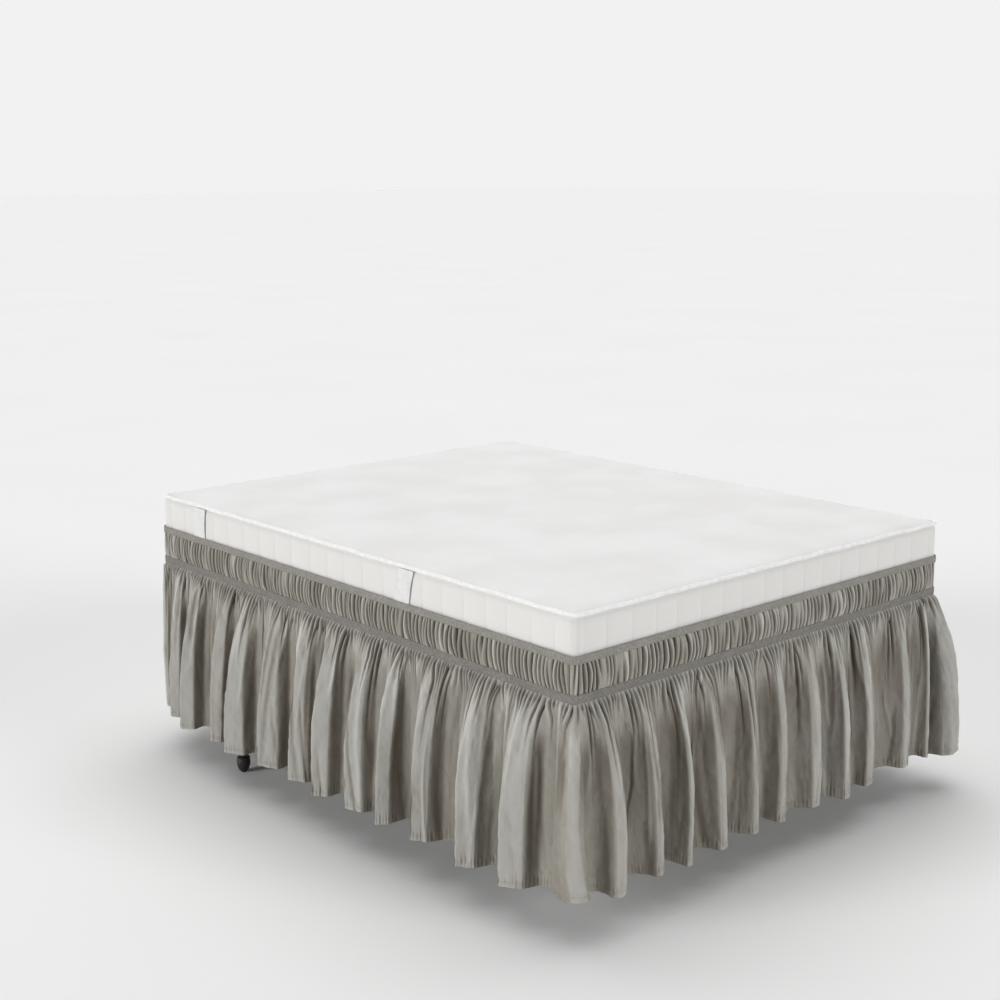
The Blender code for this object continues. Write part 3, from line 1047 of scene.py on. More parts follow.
@dataclass(frozen=True)
class FoldShape:
    """The cross-section of a side's folds: a floor in the valley, a steep flank, then the crest's panel.

    A fold's front is its face that is turned to the foot's left corner.
    """

    floor_cloth: float = 0.27  # share of the cloth between a valley and a crest that lies in the floor
    flank_cloth: float = 0.38  # the same of the flank
    floor_rise: float = 0.18  # share of the fold's height that the floor climbs
    panel_rise: float = 0.16
    softness: float = 0.07
    front_reach: float = 0.55  # share of the way along the side that a front's floor and flank take
    back_reach: float = 0.55
    front_floor: float = 0.60  # share of that reach that a front's floor takes
    back_floor: float = 0.60
    floor_shade: float = 0.40  # how dark the painted shade makes the floor beside the flank
    hem_fade: float = 0.30  # how much less painted shade both get at the hem
    panel_start: float = 0.54  # where the painted shade ends
    panel_blend: float = 0.06
    flank_start: Range = (0.20, 0.32)  # where the floor's painted shade turns into the flank's
    hem_range: Range = (0.2, 0.7)  # the shares of the fall over which the hem's fade sets in

    def ramp(self, climb: Array, start: float, end: float) -> Array:
        """Climbs softly between two places on the cloth.

        Args:
            climb: How far along the cloth a thread is from the valley, 0, to the crest, 1.
            start: Where the ramp starts.
            end: Where it ends.

        Returns:
            Shares of the ramp, 0 in the valley and 1 on the crest.
        """
        soft = self.softness
        rises = (np.hypot(at - start, soft) - np.hypot(at - end, soft) for at in (climb, 0.0, 1.0))
        here, lowest, highest = rises
        return (here - lowest) / (highest - lowest)

    def place(self, climb: Array, reach: Array, floor: Array) -> tuple[Array, Array]:
        """Finds a thread's place in the cross-section.

        Args:
            climb: How far along the cloth it is from the valley, 0, to the crest, 1.
            reach: The share of the way along the side that the floor and the flank take.
            floor: The share of that reach that the floor takes.

        Returns:
            How far along the side it is, and how far out of the valley, both from 0 to 1.
        """
        panel_start = self.floor_cloth + self.flank_cloth
        on_floor = self.ramp(climb, 0.0, self.floor_cloth)
        on_flank = self.ramp(climb, self.floor_cloth, panel_start)
        on_panel = self.ramp(climb, panel_start, 1.0)
        rounded = self.ramp(climb, panel_start, 0.95)
        slide = reach * (floor * on_floor + (1 - floor) * on_flank) + (1 - reach) * on_panel
        flank_rise = 1 - self.floor_rise - self.panel_rise
        return slide, self.floor_rise * on_floor + flank_rise * on_flank + self.panel_rise * rounded

    def shade(self, climb: Array, share: Array) -> Array:
        """Finds how much painted shade darkens the cloth's colour in the floor and on the flank.

        Args:
            climb: How far along the cloth it is from the valley, 0, to the crest, 1.
            share: Its share of the fall.

        Returns:
            Painted shade, from 0 to 1.
        """
        dark = self.floor_shade + (1 - self.floor_shade) * ease(climb, *self.flank_start)
        lit = ease(climb, self.panel_start - self.panel_blend, self.panel_start + self.panel_blend)
        return dark * (1 - lit) * (1 - self.hem_fade * ease(share, *self.hem_range))


PLAIN_SHAPE = FoldShape()
FOLD_SHAPES = {
    Side.LEFT: FoldShape(
        floor_cloth=0.27, flank_cloth=0.30, floor_rise=0.20, panel_rise=0.30, softness=0.035,
        front_reach=0.42, back_reach=0.85, front_floor=0.84, back_floor=0.45, floor_shade=0.46, hem_fade=0.10,
    ),
    Side.FOOT: FoldShape(
        floor_cloth=0.18, flank_cloth=0.60, floor_rise=0.12, panel_rise=0.07, softness=0.075,
        front_reach=0.78, back_reach=0.70, front_floor=0.50, back_floor=0.50, floor_shade=0.95, hem_fade=0.38,
        panel_start=0.80,
    ),
}


@dataclass(frozen=True)
class PlainFolds:
    """The folds of a side that isn't seen, drawn as evenly as a maker would gather them."""

    count: int
    valley_out: float
    crest_out: float
    stray: float = 0.16
    valley_stray: float = 0.096
    stray_turn: float = 2.4
    swell: float = 0.08
    swell_turn: float = 1.7

    def folds(self, length: float) -> list[Fold]:
        """Spreads the folds over a side.

        Args:
            length: The side's length.

        Returns:
            The folds, with their places measured from the side's start.
        """
        pitch = length / self.count
        rows = []
        for step in range(self.count):
            stray = math.sin(self.stray_turn * step)
            swell = 1 + self.swell * math.sin(self.swell_turn * step)
            valley = (step - 0.5 + self.valley_stray * stray) * pitch
            crest = (step + self.stray * stray) * pitch
            rows.append(Fold(valley, crest, self.valley_out, self.crest_out * swell))
        return rows


class Threads(NamedTuple):
    """What is known of the threads that run down a side, one number a thread in each array."""

    valley: Array  # where its valley is along the rim
    crest: Array  # where its crest is
    low: Array  # how far its valley stands out at the hem
    high: Array  # how far its crest does
    climb: Array  # how far it is from the valley, 0, to the crest, 1
    lift: Array  # how much higher than the others its hem hangs
    reach: Array  # the share of the way along the side that the floor and the flank take
    floor: Array  # the share of that reach that the floor takes

    @property
    def seam(self) -> Array:
        """Where each thread leaves the seam, along the rim."""
        return self.valley + (self.crest - self.valley) * self.climb


@dataclass
class Ruffle:
    """The big folds of the drop, all the way round."""

    rim: Rim
    right: PlainFolds = PlainFolds(13, valley_out=0.032, crest_out=0.108)
    head: PlainFolds = PlainFolds(11, valley_out=0.024, crest_out=0.090)
    hem_lift: float = 0.005
    hem_turn: float = 2.6
    least_steps: int = 8  # threads on a fold's face

    def __post_init__(self) -> None:
        """Sets out every fold along the whole rim."""
        long, short = self.rim.lengths[:2]
        self.sides = {
            Side.LEFT: [Fold(*row) for row in LEFT_FOLDS],
            Side.FOOT: [Fold(*row) for row in FOOT_FOLDS],
            Side.RIGHT: self.right.folds(long),
            Side.HEAD: self.head.folds(short),
        }
        self.folds: list[Fold] = []
        for side, rows in self.sides.items():
            self.folds += [row.moved(self.rim.start(side)) for row in rows]

    def first(self, side: Side) -> int:
        """The number of a side's first fold."""
        return sum(len(self.sides[other]) for other in Side if other.value < side.value)

    def fold(self, number: int) -> Fold:
        """A fold by its number, which may run past the last one."""
        laps, index = divmod(number, len(self.folds))
        return self.folds[index].moved(laps * self.rim.total)

    def lift(self, number: int) -> float:
        """How much higher a fold's hem hangs than the others'."""
        return self.hem_lift * math.sin(self.hem_turn * (number % len(self.folds)))

    def shape(self, side: Side) -> FoldShape:
        """The cross-section of a side's folds."""
        return FOLD_SHAPES.get(side, PLAIN_SHAPE)

    def threads(self, side: Side, pitch: float) -> Threads:
        """Spreads a side's threads over its folds, evenly along the hem.

        Args:
            side: Which side.
            pitch: The distance between two threads at the hem.

        Returns:
            The threads.
        """
        shape = self.shape(side)
        faces = ((shape.back_reach, shape.back_floor), (shape.front_reach, shape.front_floor))
        before_crest, past_crest = faces if side is Side.LEFT else faces[::-1]
        rows: list[tuple[float, ...]] = []
        first = self.first(side)
        last = first + len(self.sides[side])
        for number in range(first, last):
            here, after = self.fold(number), self.fold(number + 1)
            for foot, neighbour, rising in ((here, number - 1, True), (after, number + 1, False)):
                face = before_crest if rising else past_crest
                way, rise = abs(here.crest - foot.valley), here.crest_out - foot.valley_out
                arc = math.hypot(way * face[0], rise) + way * (1 - face[0])
                steps = max(self.least_steps, round(arc / pitch))
                for step in range(steps):
                    climb = step / steps if rising else 1 - step / steps
                    middle = (self.lift(number) + self.lift(neighbour)) / 2
                    lift = middle + (self.lift(number) - middle) * float(ease(np.array(climb), 0, 1))
                    places = (foot.valley, here.crest, foot.valley_out, here.crest_out)
                    rows.append((*places, climb, lift, *face))
        foot, before = self.fold(last), self.fold(last - 1)
        middle = (self.lift(last) + self.lift(last - 1)) / 2
        rows.append((foot.valley, before.crest, foot.valley_out, before.crest_out, 0.0, middle, *past_crest))
        return Threads(*np.array(rows).T)


# --- The drop's small folds ---
@dataclass(frozen=True)
class Drift:
    """A slow random change along the rim, which moves along as it goes down."""

    amount: float
    pitch: float
    seed: int
    lean: float  # how far it moves from the top to the hem

    def at(self, lap: float, along: Array, share: Array) -> Array:
        """The change at places along the rim's lap and shares of the fall."""
        return self.amount * Wander(lap, self.pitch, self.seed)(along + self.lean * share)


class FlatCloth(NamedTuple):
    """One panel's cloth, laid flat."""

    side: Side
    across: Array  # how far along the cloth each thread is
    down: Array  # how far down it each row is, as a column
    fall: float  # how far down the hem's edge is

    @property
    def end(self) -> float:
        """How far along the last thread is."""
        return self.across[-1]

    def flat(self) -> Array:
        """Nothing anywhere, by rows and threads."""
        return np.zeros((len(self.down), len(self.across)))


class Wrinkles(NamedTuple):
    """A web of small wrinkles all over the cloth."""

    height: float
    slant: float
    width: float
    length: float
    shift: tuple[float, float]


@dataclass(frozen=True)
class FlankCreases:
    """The deep creases at the top of each fold's flank, hooked where the cloth tucks under the panel."""

    seed: int = 51
    second_share: float = 0.6  # of the flanks, those with a second crease
    second_depth: float = 0.6  # its depth, to the first one's
    hook: Range = (0.008, 0.024)
    hook_fall: float = 0.034
    stray: Range = (-0.004, 0.006)
    apart: Range = (0.018, 0.034)
    reach: Range = (0.045, 0.11)
    start: Range = (0.004, 0.024)
    width: Range = (0.0032, 0.0056)
    depth: Range = (0.008, 0.0125)

    def relief(self, cloth: FlatCloth, climb: Array) -> Array:
        """Sinks the creases.

        Args:
            cloth: The panel's cloth.
            climb: How far each thread is from the valley, 0, to the crest, 1.

        Returns:
            Heights, by rows and threads.
        """
        random = np.random.default_rng(self.seed + cloth.side.value)
        total, down = cloth.flat(), cloth.down
        turned = 1 if cloth.side in (Side.LEFT, Side.RIGHT) else -1
        past = (climb - 0.5) * turned
        for flank in np.flatnonzero((past[:-1] > 0) & (past[1:] <= 0)):
            for extra in range(1 + int(random.random() < self.second_share)):
                hook = random.uniform(*self.hook) * turned
                place = cloth.across[flank] + random.uniform(*self.stray)
                place += extra * random.uniform(*self.apart) * turned
                reach, start = random.uniform(*self.reach), random.uniform(*self.start)
                width, depth = random.uniform(*self.width), random.uniform(*self.depth)
                if extra:
                    depth *= self.second_depth
                path = place + hook * hill(down, self.hook_fall)
                window = ease(down, start, start + 0.012) * hill(np.maximum(down - start, 0), reach)
                total -= depth * window * hill(cloth.across[None, :] - path, width)
        return total


@dataclass(frozen=True)
class SoftFolds:
    """Soft secondary folds and dents, which start or end anywhere down the cloth."""

    seed: int = 71
    pitch: float = 0.021
    stray: float = 0.012
    highest: float = 0.05
    half: Range = (0.05, 0.22)  # half of a fold's length
    width: Range = (0.0045, 0.014)
    dents: float = 0.6  # share of them that go inward
    height: Range = (0.0012, 0.0050)
    bend: float = 0.006
    lean: float = 0.14

    def relief(self, cloth: FlatCloth) -> Array:
        """Raises the folds and sinks the dents.

        Args:
            cloth: The panel's cloth.

        Returns:
            Heights, by rows and threads.
        """
        random = np.random.default_rng(self.seed + cloth.side.value)
        total = cloth.flat()
        for place in np.arange(0.0, cloth.end, self.pitch):
            place += random.uniform(-self.stray, self.stray)
            middle, half = random.uniform(self.highest, cloth.fall), random.uniform(*self.half)
            width = random.uniform(*self.width)
            inward_or_outward = random.choice((-1.0, 1.0), p=(self.dents, 1 - self.dents))
            height = inward_or_outward * random.uniform(*self.height)
            bend, lean = random.uniform(-self.bend, self.bend), random.uniform(-self.lean, self.lean)
            past = cloth.down - middle
            path = place + lean * past + bend * np.sin(past / (0.4 * half))
            window = np.exp(-((past / half) ** 4)) * ease(cloth.down, 0.0, 0.03)
            total += height * window * hill(cloth.across[None, :] - path, width)
        return total


@dataclass(frozen=True)
class Hem:
    """The folded hem, with the small puckers that its row of stitches draws up."""

    depth: float = 0.013
    step: float = 0.0005  # how much the doubled cloth stands out
    stitch_depth: float = 0.0006
    stitch_width: float = 0.0018
    pucker_reach: float = 0.045
    pucker_pitch: float = 0.0098
    seed: int = 91

    def relief(self, cloth: FlatCloth) -> Array:
        """Raises the hem and its puckers.

        Args:
            cloth: The panel's cloth.

        Returns:
            Heights, by rows and threads.
        """
        stitches = cloth.fall - self.depth
        doubled = ease(cloth.down, stitches - 0.001, stitches + 0.002)
        pucker = GatherRow(
            cloth.end, self.pucker_pitch, self.seed + cloth.side.value, depths=(0.0008, 0.0034),
            reaches=(0.008, 0.026), roundness=0.9,
        )
        away = np.abs(stitches - cloth.down)
        ticks = pucker.height(np.clip(cloth.across, 0, cloth.end - 1e-6)[None, :], away, cloth.fall)
        near = ease(away, self.pucker_reach, 0.0)
        line = hill(cloth.down - stitches, self.stitch_width)
        return self.step * doubled + ticks * near - self.stitch_depth * line


# --- The skirt ---
@dataclass
class Drop:
    """The gathered drop, in four panels that meet in the valleys at the corners."""

    rim: Rim
    ruffle: Ruffle
    top: float
    fall: float = 0.4835
    thickness: float = 0.0014
    seam_offset: float = 0.0046
    top_offset: float = 0.0145
    spring_fall: float = 0.0045  # how far down the cloth springs out from under the tape
    crest_flare: float = 2.6
    valley_flare: float = 1.4
    least_offset: float = 0.0036
    fullness: float = 1.38  # how much longer the flat cloth is than the side that it is gathered to
    seen_pitch: float = 0.0018
    hidden_pitch: float = 0.0044
    gather_fall: float = 0.090
    gather_rows: int = 19
    body_rows: int = 22
    hem_rows: tuple[float, ...] = (0.034, 0.029, 0.024, 0.019, 0.0148, 0.0112, 0.0075, 0.0035, 0.0004, 0.0)
    turned_rows: int = 4
    corner_blend: float = 0.012
    reach_drift: Drift = Drift(0.07, pitch=0.24, seed=35, lean=0.06)
    floor_drift: Drift = Drift(0.11, pitch=0.22, seed=36, lean=0.15)
    sway: Drift = Drift(0.003, pitch=0.26, seed=37, lean=0.12)
    gather_sway: float = 0.007
    wrinkles: tuple[Wrinkles, ...] = (
        Wrinkles(0.0009, slant=0.55, width=0.018, length=0.090, shift=(0, 0)),
        Wrinkles(0.0010, slant=-0.75, width=0.012, length=0.040, shift=(31, 17)),
        Wrinkles(0.0009, slant=0.0, width=0.060, length=0.30, shift=(5, 9)),
    )
    creases: FlankCreases = FlankCreases()
    soft_folds: SoftFolds = SoftFolds()
    hem: Hem = Hem()
    hollow_depth: float = 0.0088  # how deep a crease is where its painted shade is as dark as a valley's
    shade_range: Range = (0.015, 0.15)  # how far down the valleys' painted shade sets in
    crease_fade: float = 0.6  # how much less painted shade the creases get below the gathers
    crease_range: Range = (0.07, 0.22)  # how far down that sets in
    gather_painted_light: float = 0.14  # painted light: how much lighter the gathers are painted
    gather_range: Range = (0.12, 0.03)  # how far up that sets in

    def rows(self) -> Array:
        """Sets out the rows, closer together in the gathers and at the hem.

        Returns:
            Shares of the fall.
        """
        gathers = np.linspace(0.0, self.gather_fall, self.gather_rows + 1)[:-1]
        body = np.linspace(self.gather_fall, self.fall - self.hem_rows[0], self.body_rows + 1)[:-1]
        return np.concatenate((gathers, body, self.fall - np.array(self.hem_rows))) / self.fall

    def big_folds(self, side: Side, threads: Threads, share: Array) -> Array:
        """The points of the big folds alone.

        Args:
            side: Which side.
            threads: The side's threads.
            share: Shares of the fall, as a column.

        Returns:
            The points, by rows and threads.
        """
        lap, seam = self.rim.total, threads.seam
        climb = threads.climb[None, :]
        reach = threads.reach[None, :] + self.reach_drift.at(lap, seam, share) * ease(share, 0.0, 0.2)
        floor = threads.floor[None, :] + self.floor_drift.at(lap, seam, share)
        slide, wave = self.ruffle.shape(side).place(climb, reach, np.clip(floor, 0.2, 0.87))
        flare = 1 - (1 - share) ** self.crest_flare
        low = (threads.low - self.top_offset) * share**self.valley_flare
        high = (threads.high - self.top_offset) * flare
        spring = (self.top_offset - self.seam_offset) * (1 - np.exp(-share * self.fall / self.spring_fall))
        offset = self.seam_offset + spring + low + (high - low) * wave
        slide = climb + flare * (slide - climb)
        along = threads.valley + (threads.crest - threads.valley) * slide
        along = along + self.sway.at(lap, along, share) * share
        height = self.top - self.fall * share + share * (threads.lift - self.ruffle.hem_lift * wave)
        return self.rim.stand_off(along, offset, height)

    def relief(self, cloth: FlatCloth, threads: Threads) -> Array:
        """The small folds, creases and puckers that stand on the big folds.

        Args:
            cloth: The panel's cloth.
            threads: The side's threads.

        Returns:
            Heights above the big folds, by rows and threads, and nothing at the panel's ends.
        """
        down = cloth.down
        outer = self.rim.outer_total(self.top_offset)
        gathers = GatherRow(
            outer, pitch=0.0140, seed=31, depths=(0.0085, 0.0150), reaches=(0.018, 0.075), long_share=0.18,
            long_reach=0.12, roundness=0.6, sink=0.002, gap=0.16,
        )
        tucks = GatherRow(
            outer, pitch=0.0062, seed=33, depths=(0.0008, 0.0026), reaches=(0.007, 0.022), long_share=0.0
        )
        sway = self.gather_sway * Wander(self.rim.total, 0.10, 32)(threads.seam)[None, :]
        place = self.rim.outer(threads.seam, self.top_offset)[None, :] + sway * ease(down, 0.0, 0.06)
        relief = gathers.height(place, down, self.fall) + tucks.height(place, down, self.fall)
        relief *= ease(down, -0.002, 0.007)
        relief += self.creases.relief(cloth, threads.climb)
        relief += self.soft_folds.relief(cloth)
        drift = Crumple(41 + cloth.side.value)
        body = ease(down, 0.02, 0.10)
        for height, slant, width, length, shift in self.wrinkles:
            slanted = cloth.across[None, :] + slant * down
            relief += height * body * drift(slanted / width + shift[0], down / length + shift[1])
        relief += self.hem.relief(cloth)
        start, end = (ease(away, 0.0, self.corner_blend) for away in (cloth.across, cloth.end - cloth.across))
        return relief * (start * end)[None, :]

    def openness(self, side: Side, threads: Threads, relief: Array, down: Array) -> Array:
        """How open the cloth lies, which sets the painted light and painted shade of its finish.

        Args:
            side: Which side.
            threads: The side's threads.
            relief: Heights above the big folds, by rows and threads.
            down: How far down the cloth the rows are, as a column.

        Returns:
            About 1 on open faces, more on ridges, and 0 or less in hollows.
        """
        shade = self.ruffle.shape(side).shade(threads.climb[None, :], down / self.fall)
        creased = relief / self.hollow_depth * (1 - self.crease_fade * ease(down, *self.crease_range))
        marks = 1 - shade * ease(down, *self.shade_range) + creased
        return marks + self.gather_painted_light * ease(down, *self.gather_range)

    def panel(self, side: Side, finish: Material, hung_from: str) -> Piece:
        """Makes one side's panel, whose hem is turned up inside.

        Args:
            side: Which side.
            finish: The cloth's material.
            hung_from: The name of the tape that it hangs from; not used.

        Returns:
            The panel.
        """
        threads = self.ruffle.threads(side, self.seen_pitch if side.seen else self.hidden_pitch)
        share = self.rows()[:, None]
        folds = self.big_folds(side, threads, share)
        steps = np.linalg.norm(np.diff(folds[-1], axis=0), axis=-1)
        across = np.concatenate(([0.0], np.cumsum(steps)))
        cloth = FlatCloth(side, across, share * self.fall, self.fall)
        relief = self.relief(cloth, threads)
        points = self.clear_of_bed(folds + sheet_normals(folds) * relief[..., None])
        points, down = self.turn_hem(points, cloth.down)
        flat = np.stack(np.broadcast_arrays(across[None, :], down), -1)
        relief = np.concatenate((relief, relief[-2 : -2 - self.turned_rows : -1]))
        marks = self.openness(side, threads, relief, down)
        mesh = grid_mesh(f"drop_{side.name.lower()}", points, flat, marks=marks)
        piece = add_piece(mesh, finish, "drop")
        return piece

    def turn_hem(self, points: Array, down: Array) -> tuple[Array, Array]:
        """Carries the cloth round its bottom edge and up its back, as deep as the hem.

        Args:
            points: The cloth's face, by rows and threads.
            down: How far down the cloth the rows are, as a column.

        Returns:
            The same two, with the turned rows added.
        """
        inside = points - sheet_normals(points) * self.thickness
        turned = slice(-2, -2 - self.turned_rows, -1)
        return np.concatenate((points, inside[turned])), np.concatenate((down, 2 * self.fall - down[turned]))

    def clear_of_bed(self, points: Array) -> Array:
        """Keeps every point a little off the bed that the cloth hangs round.

        Args:
            points: The cloth's points.

        Returns:
            The same, with those that lay too near moved outward.
        """
        half = np.array((self.rim.width, self.rim.length)) / 2 - self.rim.corner
        outside = np.maximum(np.abs(points[..., :2]) - half, 0.0)
        reach = np.linalg.norm(outside, axis=-1) - self.rim.corner
        lack = np.maximum(self.least_offset - reach, 0.0)
        outward = outside * np.sign(points[..., :2])
        outward /= np.maximum(np.linalg.norm(outward, axis=-1, keepdims=True), 1e-9)
        points = points.copy()
        points[..., :2] += outward * lack[..., None]
        return points


@dataclass
class Heading:
    """The shirred strip between the two tapes, in four panels."""

    rim: Rim
    top: float
    bottom: float
    seam_offset: float = 0.0046
    least_offset: float = 0.0042
    swell: float = 0.0112
    swell_stray: float = 0.10
    corner_pull: float = 0.62  # how much less it swells where it is drawn round a corner
    corner_width: float = 0.030
    rib_pitch: float = 0.0158
    lean_even: float = 0.0020  # how far along a rib's top lies from its middle
    lean_stray: float = 0.0026
    snake: float = 0.0008
    tuck: float = 0.0015  # how far its edges run behind the tapes
    ridge_mark: float = 1.24  # how open the cloth counts as on a ridge, which gives it a painted highlight
    hollow_depth: float = 0.0060  # how deep a slit is where its painted shade is darkest
    fullness: float = 1.3
    seen_pitch: float = 0.0016
    hidden_pitch: float = 0.0030
    row_count: int = 17

    def __post_init__(self) -> None:
        """Draws the gathers for the whole way round."""
        outer = self.rim.outer_total(self.swell)
        self.gathers = GatherRow(
            outer, self.rib_pitch, seed=11, depths=(0.0085, 0.0145), reaches=(0.043, 0.090), long_share=0.60,
            long_reach=0.2, two_ended=True, roundness=0.60, sink=0.0034, gap=0.14,
        )
        self.fine = GatherRow(
            outer, pitch=0.0094, seed=12, depths=(0.0004, 0.0026), reaches=(0.008, 0.030), long_share=0.0,
            two_ended=True, roundness=0.9,
        )
        self.lean = Wander(self.rim.total, 0.070, 13)
        self.sway = Wander(self.rim.total, 0.45, 14)

    def panel(self, side: Side, finish: Material, held_by: Sequence[str]) -> Piece:
        """Makes one side's part of the heading.

        Args:
            side: Which side.
            finish: The cloth's material.
            held_by: The names of the two tapes; not used.

        Returns:
            The panel.
        """
        top, height = self.top + self.tuck, self.top - self.bottom + 2 * self.tuck
        start, length = self.rim.start(side), float(self.rim.lengths[side.value])
        pitch = self.seen_pitch if side.seen else self.hidden_pitch
        along = self.rim.stations(side, pitch, self.swell)[None, :]
        turn = math.pi * np.linspace(0, 1, self.row_count) ** 0.98
        down = (height * (0.5 - 0.5 * np.cos(turn)))[:, None]
        share = down / height
        lean = (self.lean_even + self.lean_stray * self.lean(along)) * (1 - 2 * share)
        lean += self.snake * self.lean(along + 0.31) * np.sin(TURN * share)
        body = np.sin(math.pi * share) ** 0.55
        place = self.rim.outer(along, self.swell) + lean
        ribs = self.gathers.height(place, down, height) + self.fine.height(place, down, height)
        offset = self.seam_offset + self.swelling(along) * body + ribs * body
        points = self.rim.stand_off(along, np.maximum(offset, self.least_offset), top - down)
        flat = np.stack(np.broadcast_arrays((along - start) * self.fullness, down), -1)
        # painted highlight on the ridges and painted shade in the slits
        marks = np.broadcast_to(self.ridge_mark + ribs / self.hollow_depth, points.shape[:2])
        mesh = grid_mesh(f"heading_{side.name.lower()}", points, flat, marks=marks)
        piece = add_piece(mesh, finish, "heading")
        return piece

    def swelling(self, along: Array) -> Array:
        """How far the strip's middle swells out.

        Args:
            along: Distances along the rim.

        Returns:
            Distances, less at the corners.
        """
        corners = np.array([self.rim.start(side) for side in Side])
        past = [np.abs(along[..., None] - corners - way).min(-1) for way in (0.0, self.rim.total)]
        pull = 1 - self.corner_pull * hill(np.minimum(*past), self.corner_width)
        return self.swell * (1 + self.swell_stray * self.sway(along)) * pull


@dataclass
class Tape:
    """A flat woven elastic tape round the rim, drawn in a little where it is stitched through."""

    rim: Rim
    node: str
    top: float
    bottom: float
    seed: int
    offset: float = 0.0074
    thickness: float = 0.0022
    edge_turn: float = 0.0010  # how much its edges turn in
    stitch_rows: tuple[float, ...] = (0.16, 0.84)
    stitch_depth: float = 0.00055
    stitch_width: float = 0.045  # share of the height
    swell: float = 0.00035
    wave: float = 0.0004
    edge_wave: float = 0.00035
    seen_pitch: float = 0.0042
    hidden_pitch: float = 0.010
    bend_steps: int = 8  # points round half a corner
    row_count: int = 11

    def stations(self) -> Array:
        """Sets out points along the rim, closer together on the two sides that show and at the corners.

        Returns:
            Distances along the rim.
        """
        places: list[Array] = []
        arc = self.rim.corner_arc / 2
        bend = np.linspace(0, arc, self.bend_steps + 1)[:-1]
        for side in Side:
            start, length = self.rim.start(side), float(self.rim.lengths[side.value])
            pitch = self.seen_pitch if side.seen else self.hidden_pitch
            straight = length - 2 * arc
            places.append(start + bend)
            places.append(start + arc + np.linspace(0, straight, round(straight / pitch) + 1)[:-1])
            places.append(start + length - arc + bend)
        return np.concatenate(places)

    def make(self, finish: Material) -> Piece:
        """Makes the tape.

        Args:
            finish: Its material.

        Returns:
            The tape.
        """
        height = self.top - self.bottom
        along = self.stations()[None, :]
        share = np.linspace(0.0, 1.0, self.row_count)[:, None]
        lap = self.rim.total
        puckers = GatherRow(
            lap, 0.0115, self.seed, depths=(0.0003, 0.0013), reaches=(0.010, 0.030), two_ended=True
        )
        slow, edge = Wander(lap, 0.34, self.seed + 1), Wander(lap, 0.055, self.seed + 2)
        offset = self.offset - self.edge_turn * (np.abs(2 * share - 1) ** 8)
        for row in self.stitch_rows:
            offset = offset - self.stitch_depth * hill(share - row, self.stitch_width)
        offset = offset + self.swell * slow(along) + puckers.height(along, share * height, height)
        wave = self.wave * slow(along + 0.6) + self.edge_wave * edge(along) * (2 * share - 1)
        points = self.rim.stand_off(along, offset, self.top - height * share + wave * np.sin(math.pi * share))
        mesh = ring_mesh(f"{self.node}_elastic", points, along, share * height, lap)
        piece = add_piece(mesh, finish, self.node)
        thicken(piece, self.thickness)
        return piece


@dataclass
class Skirt:
    """The whole bed skirt: tape, heading, tape and drop."""

    rim: Rim
    finishes: Finishes
    pieces: list[Piece] = field(default_factory=list)

    def build(self) -> None:
        """Makes the skirt from the top down."""
        top_tape = Tape(self.rim, "top_tape", *top_and_bottom("top_tape"), seed=21)
        lower_tape = Tape(self.rim, "lower_tape", *top_and_bottom("lower_tape"), seed=25)
        tapes = [top_tape.make(self.finishes.tape), lower_tape.make(self.finishes.lower_tape)]
        heading = Heading(self.rim, *top_and_bottom("heading"))
        drop = Drop(self.rim, Ruffle(self.rim), top_and_bottom("drop")[0])
        for side in Side:
            self.pieces.append(heading.panel(side, self.finishes.cloth, [tape.name for tape in tapes]))
            self.pieces.append(drop.panel(side, self.finishes.cloth, tapes[1].name))
        self.pieces += tapes


# --- The bed ---
def smooth_profile(corners: Sequence[Range], steps: int) -> Array:
    """Rounds a profile off by a curve through its points.

    Args:
        corners: The profile's points.
        steps: How many points to make between each two.

    Returns:
        The smooth profile's points.
    """
    given = np.array(corners, float)
    ends = np.concatenate((given[:1], given, given[-1:]))
    share = np.linspace(0, 1, steps, endpoint=False)[:, None]
    runs = []
    for before, start, end, after in zip(ends, ends[1:], ends[2:], ends[3:]):
        pull = 0.5 * (end - before) * share
        bend = (before - 2.5 * start + 2 * end - 0.5 * after) * share**2
        settle = (-0.5 * before + 1.5 * start - 1.5 * end + 0.5 * after) * share**3
        runs.append(start + pull + bend + settle)
    return np.concatenate((*runs, given[-1:]))


def closed_body(name: str, rim: Rim, along: Array, rows: Array, relief: Relief) -> Mesh:
    """Wraps a closed padded form round the rim, from its top's middle to its underside's middle.

    Args:
        name: The mesh's name.
        rim: The outline.
        along: Distances along the rim, as a row.
        rows: For each ring of points, from the top's middle down, its inset from the rim and its height.
        relief: Gives how far each point stands out, from the points and their rings' insets.

    Returns:
        The mesh.
    """
    inset, height = rows[:, :1], rows[:, 1:]
    points = rim.stand_off(along, np.zeros_like(inset), height)
    points[..., 0] *= 1 - 2 * inset / rim.width
    points[..., 1] *= 1 - 2 * inset / rim.length
    points = points + sheet_normals(points) * relief(points, inset)[..., None]
    across = np.concatenate(([0.0], np.cumsum(np.linalg.norm(np.diff(rows, axis=0), axis=-1))))[:, None]
    mesh = ring_mesh(name, points, along, across, rim.total)
    shape = bmesh.new()
    shape.from_mesh(mesh)
    shape.verts.ensure_lookup_table()
    middles = [*shape.verts[: along.shape[1]], *shape.verts[-along.shape[1] :]]
    bmesh.ops.remove_doubles(shape, verts=middles, dist=MIDDLE_JOIN)
    bmesh.ops.dissolve_degenerate(shape, edges=shape.edges, dist=SAME_POINT)
    shape.to_mesh(mesh)
    shape.free()
    return mesh


class HandleLean(NamedTuple):
    """How a handle leans: how far toward the head its top and its lower end lie from its node's middle."""

    node: str
    sign: int  # -1 on the left side of the bed, 1 on the right
    top: float
    low: float


